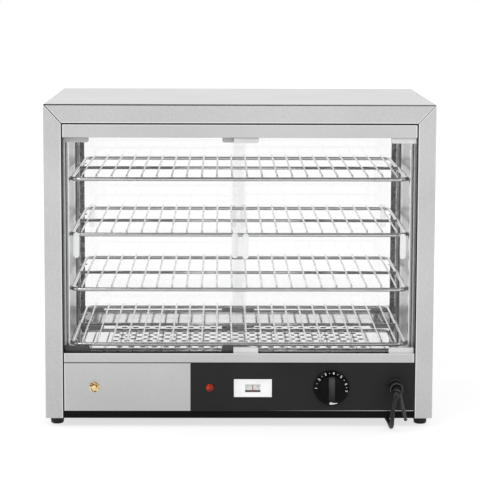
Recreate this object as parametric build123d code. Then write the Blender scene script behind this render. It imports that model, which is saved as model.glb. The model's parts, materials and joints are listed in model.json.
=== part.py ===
from build123d import *
import math
import os

# A counter-top pie warmer: a stainless steel cabinet with a glass sliding door pair at
# the front and at the rear, four wire shelves, a perforated floor over a heating element,
# and a control panel below the front doors. Millimetres, +Z up, front towards -Y.
# The origin is on the surface under the cabinet, at the middle of the box round it.

# Outer wrap: the sheet folded over both sides and the top
WIDTH = 580.0
DEPTH = 361.0
BODY_HEIGHT = 472.0
FOOT_HEIGHT = 14.0
SHEET = 1.2
BEND = 2.8
SIDE_RETURN = 26.0
TOP_RETURN = 28.0
MITRE_WIDE = 1.0
MITRE_DEEP = 0.7

# Levels above the surface that the feet stand on
BASE = FOOT_HEIGHT
TOP = BASE + BODY_HEIGHT
STRIP_TOP = BASE + 11.0
PANEL_TOP = BASE + 84.3
SILL_TOP = BASE + 98.8
FLOOR_TOP = BASE + 88.0
HEADER_LOW = BASE + 422.3
CEILING = BASE + 444.0
SHELF_LEVELS = [BASE + 358.0, BASE + 274.5, BASE + 191.5, BASE + 108.0]

# Depths, measured from the cabinet's middle plane
FRONT = -DEPTH / 2
TRIM_FACE = FRONT + SHEET
THIN = 1.0
TRIM_BACK = TRIM_FACE + THIN

# Inner box, and the dark gap between the wrap's edge and the trim inside it
LINER_IN = 263.7
TRIM_GAP = 2.2
TRIM_HALF = WIDTH / 2 - SIDE_RETURN - TRIM_GAP
HEADER_TOP = TOP - TOP_RETURN - TRIM_GAP
HEM = 0.6
LEDGE_DEPTH = 60.0
EDGE_TURN = 14.0
CEILING_SETBACK = 6.0
CEILING_BEND = 2.0

# Sliding doors and their double tracks
TRACK_WALL = 1.2
TRACK_WEB = 1.4
CHANNEL = 7.4
TRACK_DEPTH = 2 * CHANNEL + 3 * TRACK_WALL
TRACK_BACK = TRIM_BACK + TRACK_DEPTH
TRACK_DROP = 0.5
GLASS_THICK = 4.0
GLASS_CORNER = 1.0
GLASS_LOW = BASE + 95.0
GLASS_HIGH = BASE + 432.0
DOOR_EDGE = 261.0
RIGHT_DOOR_LEFT_EDGE = -8.8
LEFT_DOOR_RIGHT_EDGE = 11.0
SHOE_LENGTH = 37.0
SHOE_THICK = 7.0
SHOE_LOW = BASE + 92.3
SHOE_SHOWS = 8.2
SHOE_HIGH = BASE + 434.0
SHOE_ROUND = 3.0
SHOE_LIFT = 0.3
PULL_INSET = 13.3
PULL_WIDTH = 9.0
PULL_HEIGHT = 38.5
PULL_MIDDLE = BASE + 260.0
PULL_DEPTH = 1.6

# Upright channels of the inner side walls, which the closed doors meet
JAMB_WIDE = 9.4
JAMB_DEEP = 6.5
JAMB_CLEAR = 0.5

# Wire shelves
SHELF_HALF_WIDTH = 254.5
SHELF_HALF_DEPTH = 154.0
SHELF_CORNER = 14.0
RAIL = 6.0
MIDDLE_RAIL = 5.0
RAIL_SIDES = 8
WIRE = 3.0
WIRE_SIDES = 6
WIRE_COUNT = 22
WIRE_PITCH = 22.5

# Slotted uprights and the clips that carry the shelves
UPRIGHT_Y = 108.0
UPRIGHT_WIDTH = 16.0
UPRIGHT_DEPTH = 5.0
SLOTS_PER_SHELF = 3
SLOT_WIDE = 6.0
SLOT_HIGH = 11.0
SLOT_BELOW = 12.0
CLIP_WIDTH = 5.0
CLIP_GAP = 0.05
CLIP_THICK = 2.0
CLIP_DROP = 10.0
CLIP_HOOK = 3.5
CLIP_TIP = 1.5

# Perforated floor
HOLE = 8.0
HOLE_PITCH = 18.0
HOLE_ROWS = 13
HOLES_IN_ROW = 21

# Heating element and its tray
TRAY_HALF_WIDTH = 248.0
TRAY_HALF_DEPTH = 122.0
TRAY_FLOOR = BASE + 46.0
ELEMENT_TUBE = 8.0
ELEMENT_LEVEL = BASE + 62.0
ELEMENT_HALF = 58.0
ELEMENT_TURN = -150.0
ELEMENT_END = 9.0
CRADLE_AT = (-110.0, 110.0)
CRADLE_SHEET = 2.0
CRADLE_FOOT = (12.0, 1.5)
CRADLE_REACH = 12.0

# Control panel and what sits on it: x across, height above the base
FASCIA_LEFT = -73.0
FASCIA_THICK = 0.8
FASCIA_LOW = BASE + 13.4
FASCIA_FACE = TRIM_FACE - FASCIA_THICK
KNOB_AT = (138.0, BASE + 47.0)
KNOB_SKIRT = 53.0
KNOB_CAP = 37.0
KNOB_GRIP = 9.4
KNOB_OUT = 24.0
KNOB_CLEAR = 0.8
KNOB_EDGE = 3.2
KNOB_SLOPE = 6.2
KNOB_FACE = 10.8
KNOB_SOFT = 1.2
KNOB_CORNER = 2.0
KNOB_TAPER = 4.0
SHAFT = 6.0
SHAFT_LENGTH = 31.0
SHAFT_OUT = 22.0
THERMOSTAT_WIDE = 40.0
THERMOSTAT_DEEP = 26.0
THERMOSTAT_HIGH = 34.0
THERMOSTAT_NECK = 10.0
THERMOSTAT_CORNER = 3.0
SHAFT_PLAY = 0.05
BULB = 6.0
BULB_LENGTH = 80.0
BULB_BELOW = 3.0
BULB_BEHIND = 6.0
CAPILLARY = 2.0
CAPILLARY_BEND = 4.0
LAMP_AT = (-44.5, BASE + 46.7)
LAMP_SIZE = 11.0
LAMP_RIM = 1.4
LAMP_DOME = 4.0
LAMP_BARREL = 22.0
LAMP_NUT = (8.0, 3.0)
GAUGE_X = (-7.9, 48.9)
GAUGE_Z = (BASE + 32.8, BASE + 59.7)
GAUGE_RAISED = 3.0
GAUGE_RIM = 1.8
GAUGE_SUNK = 0.8
GAUGE_BEHIND = 24.0
GAUGE_STEP = 3.2
GAUGE_CUT = 3.0
WINDOW_X = (8.9, 31.8)
WINDOW_Z = (BASE + 40.2, BASE + 52.4)
WINDOW_THICK = 0.7
DIAL_THICK = 0.8
DIAL_AT = FASCIA_FACE + 4.5
DIAL_SIDE = 2.0
DIAL_BELOW = 5.0
DIAL_ABOVE = 2.0
GAUGE_PIVOT = ((WINDOW_X[0] + WINDOW_X[1]) / 2, WINDOW_Z[0] - 2.0)
AXLE = 1.2
NEEDLE_HUB = 3.6
NEEDLE_LENGTH = 11.5
NEEDLE_WIDE = 1.4
NEEDLE_TIP = 0.5
GLAND_AT = (234.0, BASE + 49.0)
GLAND_SIZE = 23.0
GLAND_BARREL = 15.8
GLAND_FLANGE = 4.4
GLAND_BEHIND = 14.0
GLAND_NECK = 8.0
GLAND_NUT = 20.4
GLAND_NUT_OUT = 18.4
GLAND_MOUTH = 10.8
LOCKNUT = (13.0, 5.0)
STUD_AT = (-217.1, BASE + 47.4)
STUD_SIZE = 8.0
STUD_SHANK = 9.0
STUD_TIP = 7.3
STUD_WASHER = (15.2, 1.2)
STUD_NUT = (13.0, 4.5)
STUD_BEHIND = 8.0

# Base pan, side angles and feet
VENT = (5.0, 40.0)
VENT_COUNT = 9
VENT_PITCH = 36.0
VENT_Y = 60.0
ANGLE_SHEET = 2.0
ANGLE_HIGH = 24.0
FOOT_AT = (275.0, 150.0)
FOOT_TOP = 22.0
FOOT_BOTTOM = 19.0
FOOT_EDGE = 1.2
FOOT_SCREW = 5.0
FOOT_RECESS = (7.0, 6.0)

# Terminal block
TERMINALS = 3
TERMINAL_PITCH = 12.0
TERMINAL_WIDE = 10.0
TERMINAL_DEEP = (40.0, 56.0)
TERMINAL_HIGH = 18.0
TERMINAL_BASE = (34.0, 3.0)

# Mains cord, its coil, tie and plug
CORD = 6.8
BOOT_START = FASCIA_FACE - GLAND_NUT_OUT
BOOT_ARC = 17.0
BOOT_TURN = 72.0
BOOT_LEAN = 17.0
BOOT_TAIL = 10.0
BOOT_RIBS = [5.2, 6.6, 4.9, 6.1, 4.6, 5.5, 4.3]
COIL_AT = (150.0, 248.0)
COIL_MIDDLE = 38.0
COIL_WIDE = 20.4
COIL_HIGH = 13.6
COIL_ROUND = 2.4
STRAP_WIDE = 4.8
STRAP_THICK = 1.2
STRAP_SLACK = 0.2
STRAP_HEAD = (6.0, 7.0, 3.8)
PLUG_BODY = (34.0, 34.0, 22.0)
PLUG_BACK = 86.0
PLUG_CORNER = 7.0
PLUG_SHOULDER = 3.0
PLUG_BOOT = (11.2, 21.0)
PLUG_TAPER = 3.5
PIN = (6.3, 1.6, 17.0)
PIN_PLACES = [(-6.9, 2.2, 30.0), (6.9, 2.2, -30.0), (0.0, -7.6, 90.0)]

# Twisted tie round the boot
TIE_RING = 8.4
TIE_WIDE = 4.8
TIE_THICK = 1.4
TIE_END = 20.0
TIE_MIDDLE = (9.4, 9.0, 22.0)
TIE_FOOT = (13.0, 13.0)

# The knob stands out furthest at the front, so the box's middle is half of that forward
BOX_SHIFT = (FRONT - (FASCIA_FACE - KNOB_OUT)) / 2


def block(x, y, z):
    """A box between two corners, given as low and high pairs."""
    size = Box(x[1] - x[0], y[1] - y[0], z[1] - z[0], align=(Align.MIN, Align.MIN, Align.MIN))
    return Pos(x[0], y[0], z[0]) * size


def profiled(points, thick, half_length, side):
    """A folded sheet: legs through (y, z) points, thickened to one side, run along X."""
    outline = offset(Polyline(*points), thick, kind=Kind.INTERSECTION, side=side)
    return extrude(Plane.YZ * make_face(outline.edges()), half_length, both=True)


def rear(shape):
    """The same piece at the rear, seen in the cabinet's middle plane."""
    return mirror(shape, about=Plane.XZ)


def placed(shape, side, end):
    """A piece made for the right-hand rear, put at any of the four corners."""
    if side < 0:
        shape = mirror(shape, about=Plane.YZ)
    if end < 0:
        shape = mirror(shape, about=Plane.XZ)
    return shape


def facing(at, y):
    """A plane on the panel at x, height and depth, looking out at the front."""
    return Plane(origin=(at[0], y, at[1]), x_dir=(1, 0, 0), z_dir=(0, -1, 0))


def turned(profile, at, y):
    """A turned piece: (radius, distance out) points revolved about the axis at a panel place."""
    face = make_face(Polyline(*profile, close=True).edges())
    solid = revolve(Plane.XZ * face, Axis.Z)
    return facing(at, y) * solid


def round_bar(start, stop, size):
    """Straight round bar between two points."""
    length = (Vector(*stop) - Vector(*start)).length
    plane = Plane(origin=start, z_dir=Vector(*stop) - Vector(*start))
    return extrude(plane * Circle(size / 2), length)


def outer_wrap():
    """Sides and top of one sheet, with mitred returns at the front and rear."""
    hood = block((-WIDTH / 2, WIDTH / 2), (-DEPTH / 2, DEPTH / 2), (BASE, TOP))
    bends = hood.edges().filter_by(lambda edge: edge.center().Z > BASE + 1)
    hood = fillet(bends, BEND)
    space = block(
        (-WIDTH / 2 + SHEET, WIDTH / 2 - SHEET),
        (-DEPTH / 2 + SHEET, DEPTH / 2 - SHEET),
        (BASE + SHEET, TOP - SHEET),
    )
    inner_bends = space.edges().filter_by(lambda edge: edge.center().Z > BASE + SHEET + 1)
    hood -= fillet(inner_bends, BEND - SHEET)
    inner_x = WIDTH / 2 - SIDE_RETURN
    hood -= block((-inner_x, inner_x), (-DEPTH, DEPTH), (BASE - 1, TOP - TOP_RETURN))
    slant = math.degrees(math.atan2(TOP_RETURN, SIDE_RETURN))
    length = math.hypot(TOP_RETURN, SIDE_RETURN) - 2 * BEND
    for side in (-1, 1):
        seam = Rot(0, -side * slant, 0) * Box(length, 2 * MITRE_DEEP, MITRE_WIDE)
        corner_x = side * (WIDTH / 2 - SIDE_RETURN / 2)
        for face_y in (-DEPTH / 2, DEPTH / 2):
            hood -= Pos(corner_x, face_y, TOP - TOP_RETURN / 2) * seam
    return hood


def liner(side):
    """Inner side wall, with an upright channel at each end where a closed door meets it."""
    wall = block(
        (LINER_IN, LINER_IN + THIN), (TRIM_FACE, -TRIM_FACE), (PANEL_TOP + THIN, CEILING + THIN)
    )
    low_x = LINER_IN - JAMB_WIDE
    y = (-TRACK_BACK - JAMB_CLEAR - JAMB_DEEP, -TRACK_BACK - JAMB_CLEAR)
    channel = block((low_x, LINER_IN), y, (FLOOR_TOP, CEILING))
    channel -= block((low_x + THIN, LINER_IN), (y[0] + THIN, y[1]), (FLOOR_TOP, CEILING))
    wall += channel
    wall += rear(channel)
    return placed(wall, side, 1)


def ceiling():
    """Inner top panel, with its front and rear edges turned up."""
    edge_y = TRIM_BACK + CEILING_SETBACK
    points = [
        (edge_y, CEILING + EDGE_TURN),
        (edge_y, CEILING),
        (-edge_y, CEILING),
        (-edge_y, CEILING + EDGE_TURN),
    ]
    line = FilletPolyline(*points, radius=CEILING_BEND)
    outline = offset(line, THIN, kind=Kind.INTERSECTION, side=Side.LEFT)
    return extrude(Plane.YZ * make_face(outline.edges()), LINER_IN, both=True)


def header():
    """Trim strip that hides the top track, with its long edges rounded."""
    strip = block((-TRIM_HALF, TRIM_HALF), (TRIM_FACE, TRIM_BACK), (HEADER_LOW, HEADER_TOP))
    long_edges = strip.faces().sort_by(Axis.Y)[0].edges().filter_by(Axis.X)
    return fillet(long_edges, HEM)


def sill():
    """Trim face with a deep ledge behind it, which carries the bottom track and the floor."""
    points = [
        (TRIM_FACE + LEDGE_DEPTH, PANEL_TOP),
        (TRIM_FACE, PANEL_TOP),
        (TRIM_FACE, SILL_TOP),
    ]
    shelf_and_face = profiled(points, THIN, LINER_IN, Side.RIGHT)
    for side in (-1, 1):
        end_x = sorted((side * TRIM_HALF, side * (LINER_IN + 1)))
        shelf_and_face -= block(end_x, (TRIM_FACE - 1, TRIM_BACK), (PANEL_TOP - 1, SILL_TOP + 1))
    return shelf_and_face


def track(low, high, web_top):
    """Double channel: three walls along X on a web."""
    length = (-TRIM_HALF, TRIM_HALF)
    channel = block(length, (TRIM_BACK, TRACK_BACK), (web_top - TRACK_WEB, web_top))
    for number in range(3):
        y = TRIM_BACK + number * (CHANNEL + TRACK_WALL)
        channel += block(length, (y, y + TRACK_WALL), (low, high))
    return channel


def bottom_track():
    """Double channel on the sill, with its web part way up."""
    return track(PANEL_TOP + THIN, SILL_TOP - TRACK_DROP, SHOE_LOW - SHOE_LIFT)


def top_track():
    """Double channel under the ceiling, deep enough to lift a door out of the bottom one."""
    return track(HEADER_LOW + TRACK_WALL, CEILING, CEILING)


def channel_middle(outer):
    """Depth of the middle of the outer or inner channel."""
    y = TRIM_BACK + TRACK_WALL + CHANNEL / 2
    return y if outer else y + CHANNEL + TRACK_WALL


def door_edges(outer):
    """Low and high x of a pane: the outer track holds the right-hand door."""
    if outer:
        return RIGHT_DOOR_LEFT_EDGE, DOOR_EDGE
    return -DOOR_EDGE, LEFT_DOOR_RIGHT_EDGE


def pane_block(outer):
    """The plain pane of a door, from edge to edge."""
    y = channel_middle(outer)
    return block(door_edges(outer), (y - GLASS_THICK / 2, y + GLASS_THICK / 2), (GLASS_LOW, GLASS_HIGH))


def door_glass(outer):
    """Glass pane with a finger pull ground into it near each upright edge."""
    y = channel_middle(outer)
    low_x, high_x = door_edges(outer)
    pane = fillet(pane_block(outer).edges().filter_by(Axis.Y), GLASS_CORNER)
    for x in (low_x + PULL_INSET + PULL_WIDTH / 2, high_x - PULL_INSET - PULL_WIDTH / 2):
        outline = facing((x, PULL_MIDDLE), y - GLASS_THICK / 2) * SlotOverall(
            PULL_HEIGHT, PULL_WIDTH, rotation=90
        )
        pane -= extrude(outline, -PULL_DEPTH)
    return pane


def door_shoes(outer):
    """Four plastic shoes that clip over the pane's corners and run in the channels."""
    y = channel_middle(outer)
    low_x, high_x = door_edges(outer)
    shoes = []
    for left in (True, False):
        x = (low_x, low_x + SHOE_LENGTH) if left else (high_x - SHOE_LENGTH, high_x)
        for bottom in (True, False):
            if bottom:
                z = (SHOE_LOW, SILL_TOP + SHOE_SHOWS)
            else:
                z = (HEADER_LOW - SHOE_SHOWS, SHOE_HIGH)
            shoe = block(x, (y - SHOE_THICK / 2, y + SHOE_THICK / 2), z)
            corner = Vector(x[1] if left else x[0], y, z[1] if bottom else z[0])
            edge = shoe.edges().filter_by(Axis.Y).sort_by_distance(corner)[0]
            shoes.append(fillet(edge, SHOE_ROUND) - pane_block(outer))
    return shoes


def upright(side, end):
    """Slotted upright against an inner side wall, an open channel with its face inwards."""
    x = (LINER_IN - UPRIGHT_DEPTH, LINER_IN)
    y = (UPRIGHT_Y - UPRIGHT_WIDTH / 2, UPRIGHT_Y + UPRIGHT_WIDTH / 2)
    z = (FLOOR_TOP, CEILING)
    rail = block(x, y, z)
    rail -= block((x[0] + THIN, x[1]), (y[0] + THIN, y[1] - THIN), z)
    step = (SHELF_LEVELS[0] - SHELF_LEVELS[-1]) / (len(SHELF_LEVELS) - 1) / SLOTS_PER_SHELF
    slot_y = (UPRIGHT_Y - SLOT_WIDE / 2, UPRIGHT_Y + SLOT_WIDE / 2)
    for level in SHELF_LEVELS:
        for number in range(SLOTS_PER_SHELF):
            low = level - RAIL / 2 - SLOT_BELOW + number * step
            rail -= block((x[0], x[0] + THIN), slot_y, (low, low + SLOT_HIGH))
    return placed(rail, side, end)


def shelf_clips(level):
    """Four hooked clips in the uprights that carry one shelf by its side rails."""
    face_x = LINER_IN - UPRIGHT_DEPTH
    tip_x = SHELF_HALF_WIDTH - RAIL - CLIP_TIP
    under = level - RAIL / 2 - CLIP_GAP
    points = [
        (face_x + THIN, under - CLIP_THICK),
        (face_x + THIN, under - CLIP_DROP),
        (face_x, under - CLIP_DROP),
        (face_x - CLIP_THICK, under - CLIP_HOOK),
        (tip_x, under - CLIP_TIP),
        (tip_x, under),
        (face_x, under),
        (face_x, under - CLIP_THICK),
    ]
    profile = make_face(Polyline(*points, close=True).edges())
    plane = Plane(origin=(0, UPRIGHT_Y, 0), x_dir=(1, 0, 0), z_dir=(0, -1, 0))
    tongue = extrude(plane * profile, CLIP_WIDTH / 2, both=True)
    return [placed(tongue, side, end) for side in (-1, 1) for end in (-1, 1)]


def cross_wire(level):
    """A wire over the middle and rear rails, turned down behind the front rail."""
    top = level + RAIL / 2 + WIRE / 2
    front_y = -SHELF_HALF_DEPTH + RAIL / 2 + WIRE / 2
    start = (0, SHELF_HALF_DEPTH + RAIL / 2, top)
    path = Polyline(start, (0, front_y, top), (0, front_y, level - RAIL / 2))
    section = RegularPolygon(WIRE / 2, WIRE_SIDES, major_radius=False)
    plane = Plane(origin=start, x_dir=(1, 0, 0), z_dir=(0, -1, 0))
    return sweep(plane * section, path=path, transition=Transition.RIGHT)


def shelf(level):
    """Rail frame with rounded corners, a middle rail, and cross wires."""
    half_x = SHELF_HALF_WIDTH - RAIL / 2
    flat_up = 180 / RAIL_SIDES
    rail_section = RegularPolygon(RAIL / 2, RAIL_SIDES, major_radius=False, rotation=flat_up)
    loop = RectangleRounded(2 * half_x, 2 * SHELF_HALF_DEPTH, SHELF_CORNER).wire()
    start = Plane(origin=(0, -SHELF_HALF_DEPTH, level), x_dir=(0, 1, 0), z_dir=(1, 0, 0))
    pieces = [sweep(start * rail_section, path=Pos(0, 0, level) * loop)]
    inner_x = half_x - RAIL / 2
    middle_section = RegularPolygon(
        MIDDLE_RAIL / 2, RAIL_SIDES, major_radius=False, rotation=flat_up
    )
    middle = Plane(
        origin=(-inner_x, 0, level + (RAIL - MIDDLE_RAIL) / 2), x_dir=(0, 1, 0), z_dir=(1, 0, 0)
    )
    pieces.append(extrude(middle * middle_section, 2 * inner_x))
    wire = cross_wire(level)
    for number in range(WIRE_COUNT):
        pieces.append(Pos((number - (WIRE_COUNT - 1) / 2) * WIRE_PITCH, 0, 0) * wire)
    return pieces


def perforated_floor():
    """Lift-out floor: a shallow tray turned down at its edges, with staggered holes."""
    half_x = LINER_IN - THIN
    half_y = -TRACK_BACK - JAMB_CLEAR
    plate = block((-half_x, half_x), (-half_y, half_y), (PANEL_TOP + THIN, FLOOR_TOP))
    plate -= block(
        (-half_x + THIN, half_x - THIN),
        (-half_y + THIN, half_y - THIN),
        (PANEL_TOP, FLOOR_TOP - THIN),
    )
    row_step = HOLE_PITCH * math.sqrt(3) / 2
    places = []
    for row in range(HOLE_ROWS):
        y = (row - (HOLE_ROWS - 1) / 2) * row_step
        shift = HOLE_PITCH / 4 if row % 2 else -HOLE_PITCH / 4
        for number in range(HOLES_IN_ROW):
            places.append(((number - (HOLES_IN_ROW - 1) / 2) * HOLE_PITCH + shift, y))
    holes = Sketch() + [Pos(x, y) * RegularPolygon(HOLE / 2, 4) for x, y in places]
    return plate - extrude(Pos(0, 0, FLOOR_TOP - 2 * THIN) * holes, 3 * THIN)


def element_tray():
    """Deep pan under the floor that holds the element and keeps heat off the wiring."""
    pan = block(
        (-TRAY_HALF_WIDTH, TRAY_HALF_WIDTH),
        (-TRAY_HALF_DEPTH, TRAY_HALF_DEPTH),
        (TRAY_FLOOR, PANEL_TOP),
    )
    pan -= block(
        (-TRAY_HALF_WIDTH + THIN, TRAY_HALF_WIDTH - THIN),
        (-TRAY_HALF_DEPTH + THIN, TRAY_HALF_DEPTH - THIN),
        (TRAY_FLOOR + THIN, PANEL_TOP + 1),
    )
    wall_x = TRAY_HALF_WIDTH - THIN
    for y in (-ELEMENT_HALF, ELEMENT_HALF):
        pan -= round_bar(
            (wall_x - 1, y, ELEMENT_LEVEL), (wall_x + THIN + 1, y, ELEMENT_LEVEL), ELEMENT_TUBE
        )
    return pan


def heating_element():
    """Sheathed hairpin element whose cold ends come out through the tray's right-hand wall."""
    end_x = TRAY_HALF_WIDTH + ELEMENT_END
    turn_x = ELEMENT_TURN
    near = (turn_x, -ELEMENT_HALF, ELEMENT_LEVEL)
    far = (turn_x, ELEMENT_HALF, ELEMENT_LEVEL)
    tip = (turn_x - ELEMENT_HALF, 0, ELEMENT_LEVEL)
    start = (end_x, -ELEMENT_HALF, ELEMENT_LEVEL)
    path = Line(start, near) + ThreePointArc(near, tip, far)
    path += Line(far, (end_x, ELEMENT_HALF, ELEMENT_LEVEL))
    plane = Plane(origin=start, z_dir=(-1, 0, 0))
    return sweep(plane * Circle(ELEMENT_TUBE / 2), path=path)


def element_brackets():
    """Two folded cradles between the tray floor and the element."""
    cradles = []
    low = TRAY_FLOOR + THIN
    reach = ELEMENT_HALF + CRADLE_REACH
    foot_wide, foot_high = CRADLE_FOOT
    for x in CRADLE_AT:
        sheet_x = (x - CRADLE_SHEET / 2, x + CRADLE_SHEET / 2)
        cradle = block(sheet_x, (-reach, reach), (low, ELEMENT_LEVEL))
        for y in (-ELEMENT_HALF, ELEMENT_HALF):
            cradle -= round_bar(
                (x - CRADLE_SHEET, y, ELEMENT_LEVEL), (x + CRADLE_SHEET, y, ELEMENT_LEVEL),
                ELEMENT_TUBE,
            )
        foot = block((sheet_x[0], sheet_x[0] + foot_wide), (-reach, reach), (low, low + foot_high))
        cradles.append(cradle + foot)
    return cradles


def panel_hole(at, size):
    """Round hole through the panel and the fascia."""
    return extrude(facing(at, FASCIA_FACE - 1) * Circle(size / 2), -(FASCIA_THICK + THIN + 2))


def panel_holes():
    """Every cut-out that the controls need."""
    gauge = block(
        (GAUGE_X[0] + GAUGE_CUT, GAUGE_X[1] - GAUGE_CUT),
        (FASCIA_FACE - 1, TRIM_BACK + 1),
        (GAUGE_Z[0] + GAUGE_CUT, GAUGE_Z[1] - GAUGE_CUT),
    )
    return [
        gauge,
        panel_hole(KNOB_AT, THERMOSTAT_NECK),
        panel_hole(LAMP_AT, LAMP_SIZE - 2),
        panel_hole(GLAND_AT, GLAND_BARREL + 0.2),
        panel_hole(STUD_AT, STUD_SHANK),
    ]


def lower_panel():
    """Panel below the doors, with its top and bottom edges turned in."""
    points = [
        (TRIM_FACE + EDGE_TURN, STRIP_TOP),
        (TRIM_FACE, STRIP_TOP),
        (TRIM_FACE, PANEL_TOP),
        (TRIM_FACE + EDGE_TURN, PANEL_TOP),
    ]
    return profiled(points, THIN, TRIM_HALF, Side.RIGHT)


def control_panel():
    """Front lower panel with its cut-outs."""
    panel = lower_panel()
    for hole in panel_holes():
        panel -= hole
    return panel


def fascia():
    """Black plate over the right-hand part of the control panel."""
    plate = block((FASCIA_LEFT, TRIM_HALF), (FASCIA_FACE, TRIM_FACE), (FASCIA_LOW, PANEL_TOP))
    for hole in panel_holes():
        plate -= hole
    return plate


def base_pan():
    """Black tray under the cabinet, turned up at the front and rear, with vent slots."""
    points = [
        (TRIM_FACE, STRIP_TOP),
        (TRIM_FACE, BASE),
        (-TRIM_FACE, BASE),
        (-TRIM_FACE, STRIP_TOP),
    ]
    pan = profiled(points, THIN, WIDTH / 2 - SIDE_RETURN, Side.LEFT)
    for number in range(VENT_COUNT):
        x = (number - (VENT_COUNT - 1) / 2) * VENT_PITCH
        for y in (-VENT_Y, VENT_Y):
            pan -= Pos(x, y, BASE) * extrude(Rectangle(*VENT), 2 * THIN, both=True)
    return pan


def side_rail(side):
    """Angle inside the bottom of each side, where the base and the feet are fastened."""
    x = (WIDTH / 2 - SIDE_RETURN, WIDTH / 2 - BEND)
    ends = (TRIM_FACE + BEND, -TRIM_FACE - BEND)
    low = BASE + SHEET
    rail = block(x, ends, (low, low + ANGLE_SHEET))
    rail += block((x[0], x[0] + ANGLE_SHEET), ends, (low, low + ANGLE_HIGH))
    return placed(rail, side, 1)


def foot(side, end):
    """Tapered rubber foot with a recess for its screw."""
    top = FOOT_TOP / 2
    bottom = FOOT_BOTTOM / 2
    recess, recess_high = FOOT_RECESS
    profile = [
        (recess / 2, 0),
        (bottom - FOOT_EDGE, 0),
        (bottom, FOOT_EDGE),
        (top, FOOT_HEIGHT - FOOT_EDGE),
        (top, FOOT_HEIGHT),
        (FOOT_SCREW / 2, FOOT_HEIGHT),
        (FOOT_SCREW / 2, recess_high),
        (recess / 2, recess_high),
    ]
    face = make_face(Polyline(*profile, close=True).edges())
    return Pos(side * FOOT_AT[0], end * FOOT_AT[1], 0) * revolve(Plane.XZ * face, Axis.Z)


def knob():
    """Skirt, raised cap and a grip bar across it."""
    skirt = KNOB_SKIRT / 2
    cap = KNOB_CAP / 2
    bore_end = KNOB_FACE - 2 * KNOB_CLEAR
    profile = [
        (SHAFT / 2, KNOB_CLEAR),
        (skirt - KNOB_CLEAR, KNOB_CLEAR),
        (skirt, 2 * KNOB_CLEAR),
        (skirt, KNOB_EDGE),
        (skirt - 1, KNOB_EDGE + 1),
        (cap + KNOB_SOFT, KNOB_SLOPE),
        (cap, KNOB_FACE - KNOB_CLEAR),
        (cap - KNOB_SOFT, KNOB_FACE),
        (0, KNOB_FACE),
        (0, bore_end),
        (SHAFT / 2, bore_end),
    ]
    body = turned(profile, KNOB_AT, FASCIA_FACE)
    bar = RectangleRounded(KNOB_GRIP, KNOB_CAP - 2 * KNOB_CLEAR, KNOB_CORNER)
    ridge = extrude(Pos(0, 0, KNOB_FACE) * bar, KNOB_OUT - KNOB_FACE, taper=KNOB_TAPER)
    ridge = fillet(ridge.faces().sort_by(Axis.Z)[-1].edges(), KNOB_SOFT)
    return body + facing(KNOB_AT, FASCIA_FACE) * ridge


def thermostat_shaft():
    """Shaft that the knob is pushed on to."""
    return extrude(facing(KNOB_AT, FASCIA_FACE + SHAFT_OUT) * Circle(SHAFT / 2), SHAFT_LENGTH)


def thermostat():
    """Switch body behind the panel with a threaded neck round its shaft."""
    x, z = KNOB_AT
    body = block(
        (x - THERMOSTAT_WIDE / 2, x + THERMOSTAT_WIDE / 2),
        (TRIM_BACK, TRIM_BACK + THERMOSTAT_DEEP),
        (z - THERMOSTAT_HIGH / 2, z + THERMOSTAT_HIGH / 2),
    )
    body = chamfer(body.edges().filter_by(Axis.Y), THERMOSTAT_CORNER)
    body += extrude(facing(KNOB_AT, TRIM_BACK) * Circle(THERMOSTAT_NECK / 2), FASCIA_THICK + THIN)
    bore = Circle(SHAFT / 2 + SHAFT_PLAY)
    return body - extrude(facing(KNOB_AT, FASCIA_FACE + SHAFT_OUT + 0.5) * bore, SHAFT_LENGTH)


def thermostat_bulb():
    """Sensing bulb under the floor, with the fine tube down to the thermostat."""
    bulb_y = -TRAY_HALF_DEPTH - BULB_BEHIND
    level = PANEL_TOP - BULB_BELOW
    x = KNOB_AT[0]
    end_x = x - THERMOSTAT_WIDE
    bulb = round_bar((end_x - BULB_LENGTH, bulb_y, level), (end_x, bulb_y, level), BULB)
    down_y = TRIM_BACK + THERMOSTAT_DEEP / 2
    route = [
        (end_x, bulb_y, level),
        (x, bulb_y, level),
        (x, down_y, level - 2 * CAPILLARY_BEND),
        (x, down_y, KNOB_AT[1] + THERMOSTAT_HIGH / 2),
    ]
    path = FilletPolyline(*route, radius=CAPILLARY_BEND)
    section = RegularPolygon(CAPILLARY / 2, WIRE_SIDES)
    tube = sweep(Plane(origin=route[0], z_dir=(1, 0, 0)) * section, path=path)
    return [bulb, tube]


def lamp_lens():
    """Domed red lens of the heating light."""
    size = LAMP_SIZE / 2
    stem = FASCIA_THICK + THIN
    profile = [
        (0, -stem),
        (size - 1, -stem),
        (size - 1, 0),
        (size, 0),
        (size, LAMP_RIM),
        (size - KNOB_SOFT, LAMP_DOME - LAMP_RIM),
        (size / 2, LAMP_DOME - LAMP_RIM / 4),
        (0, LAMP_DOME),
    ]
    return turned(profile, LAMP_AT, FASCIA_FACE)


def lamp_body():
    """Barrel and nut of the light behind the panel."""
    nut_size, nut_thick = LAMP_NUT
    barrel = extrude(facing(LAMP_AT, TRIM_BACK) * Circle(LAMP_SIZE / 2 - 1), -LAMP_BARREL)
    return barrel + extrude(facing(LAMP_AT, TRIM_BACK) * RegularPolygon(nut_size, 6), -nut_thick)


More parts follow.
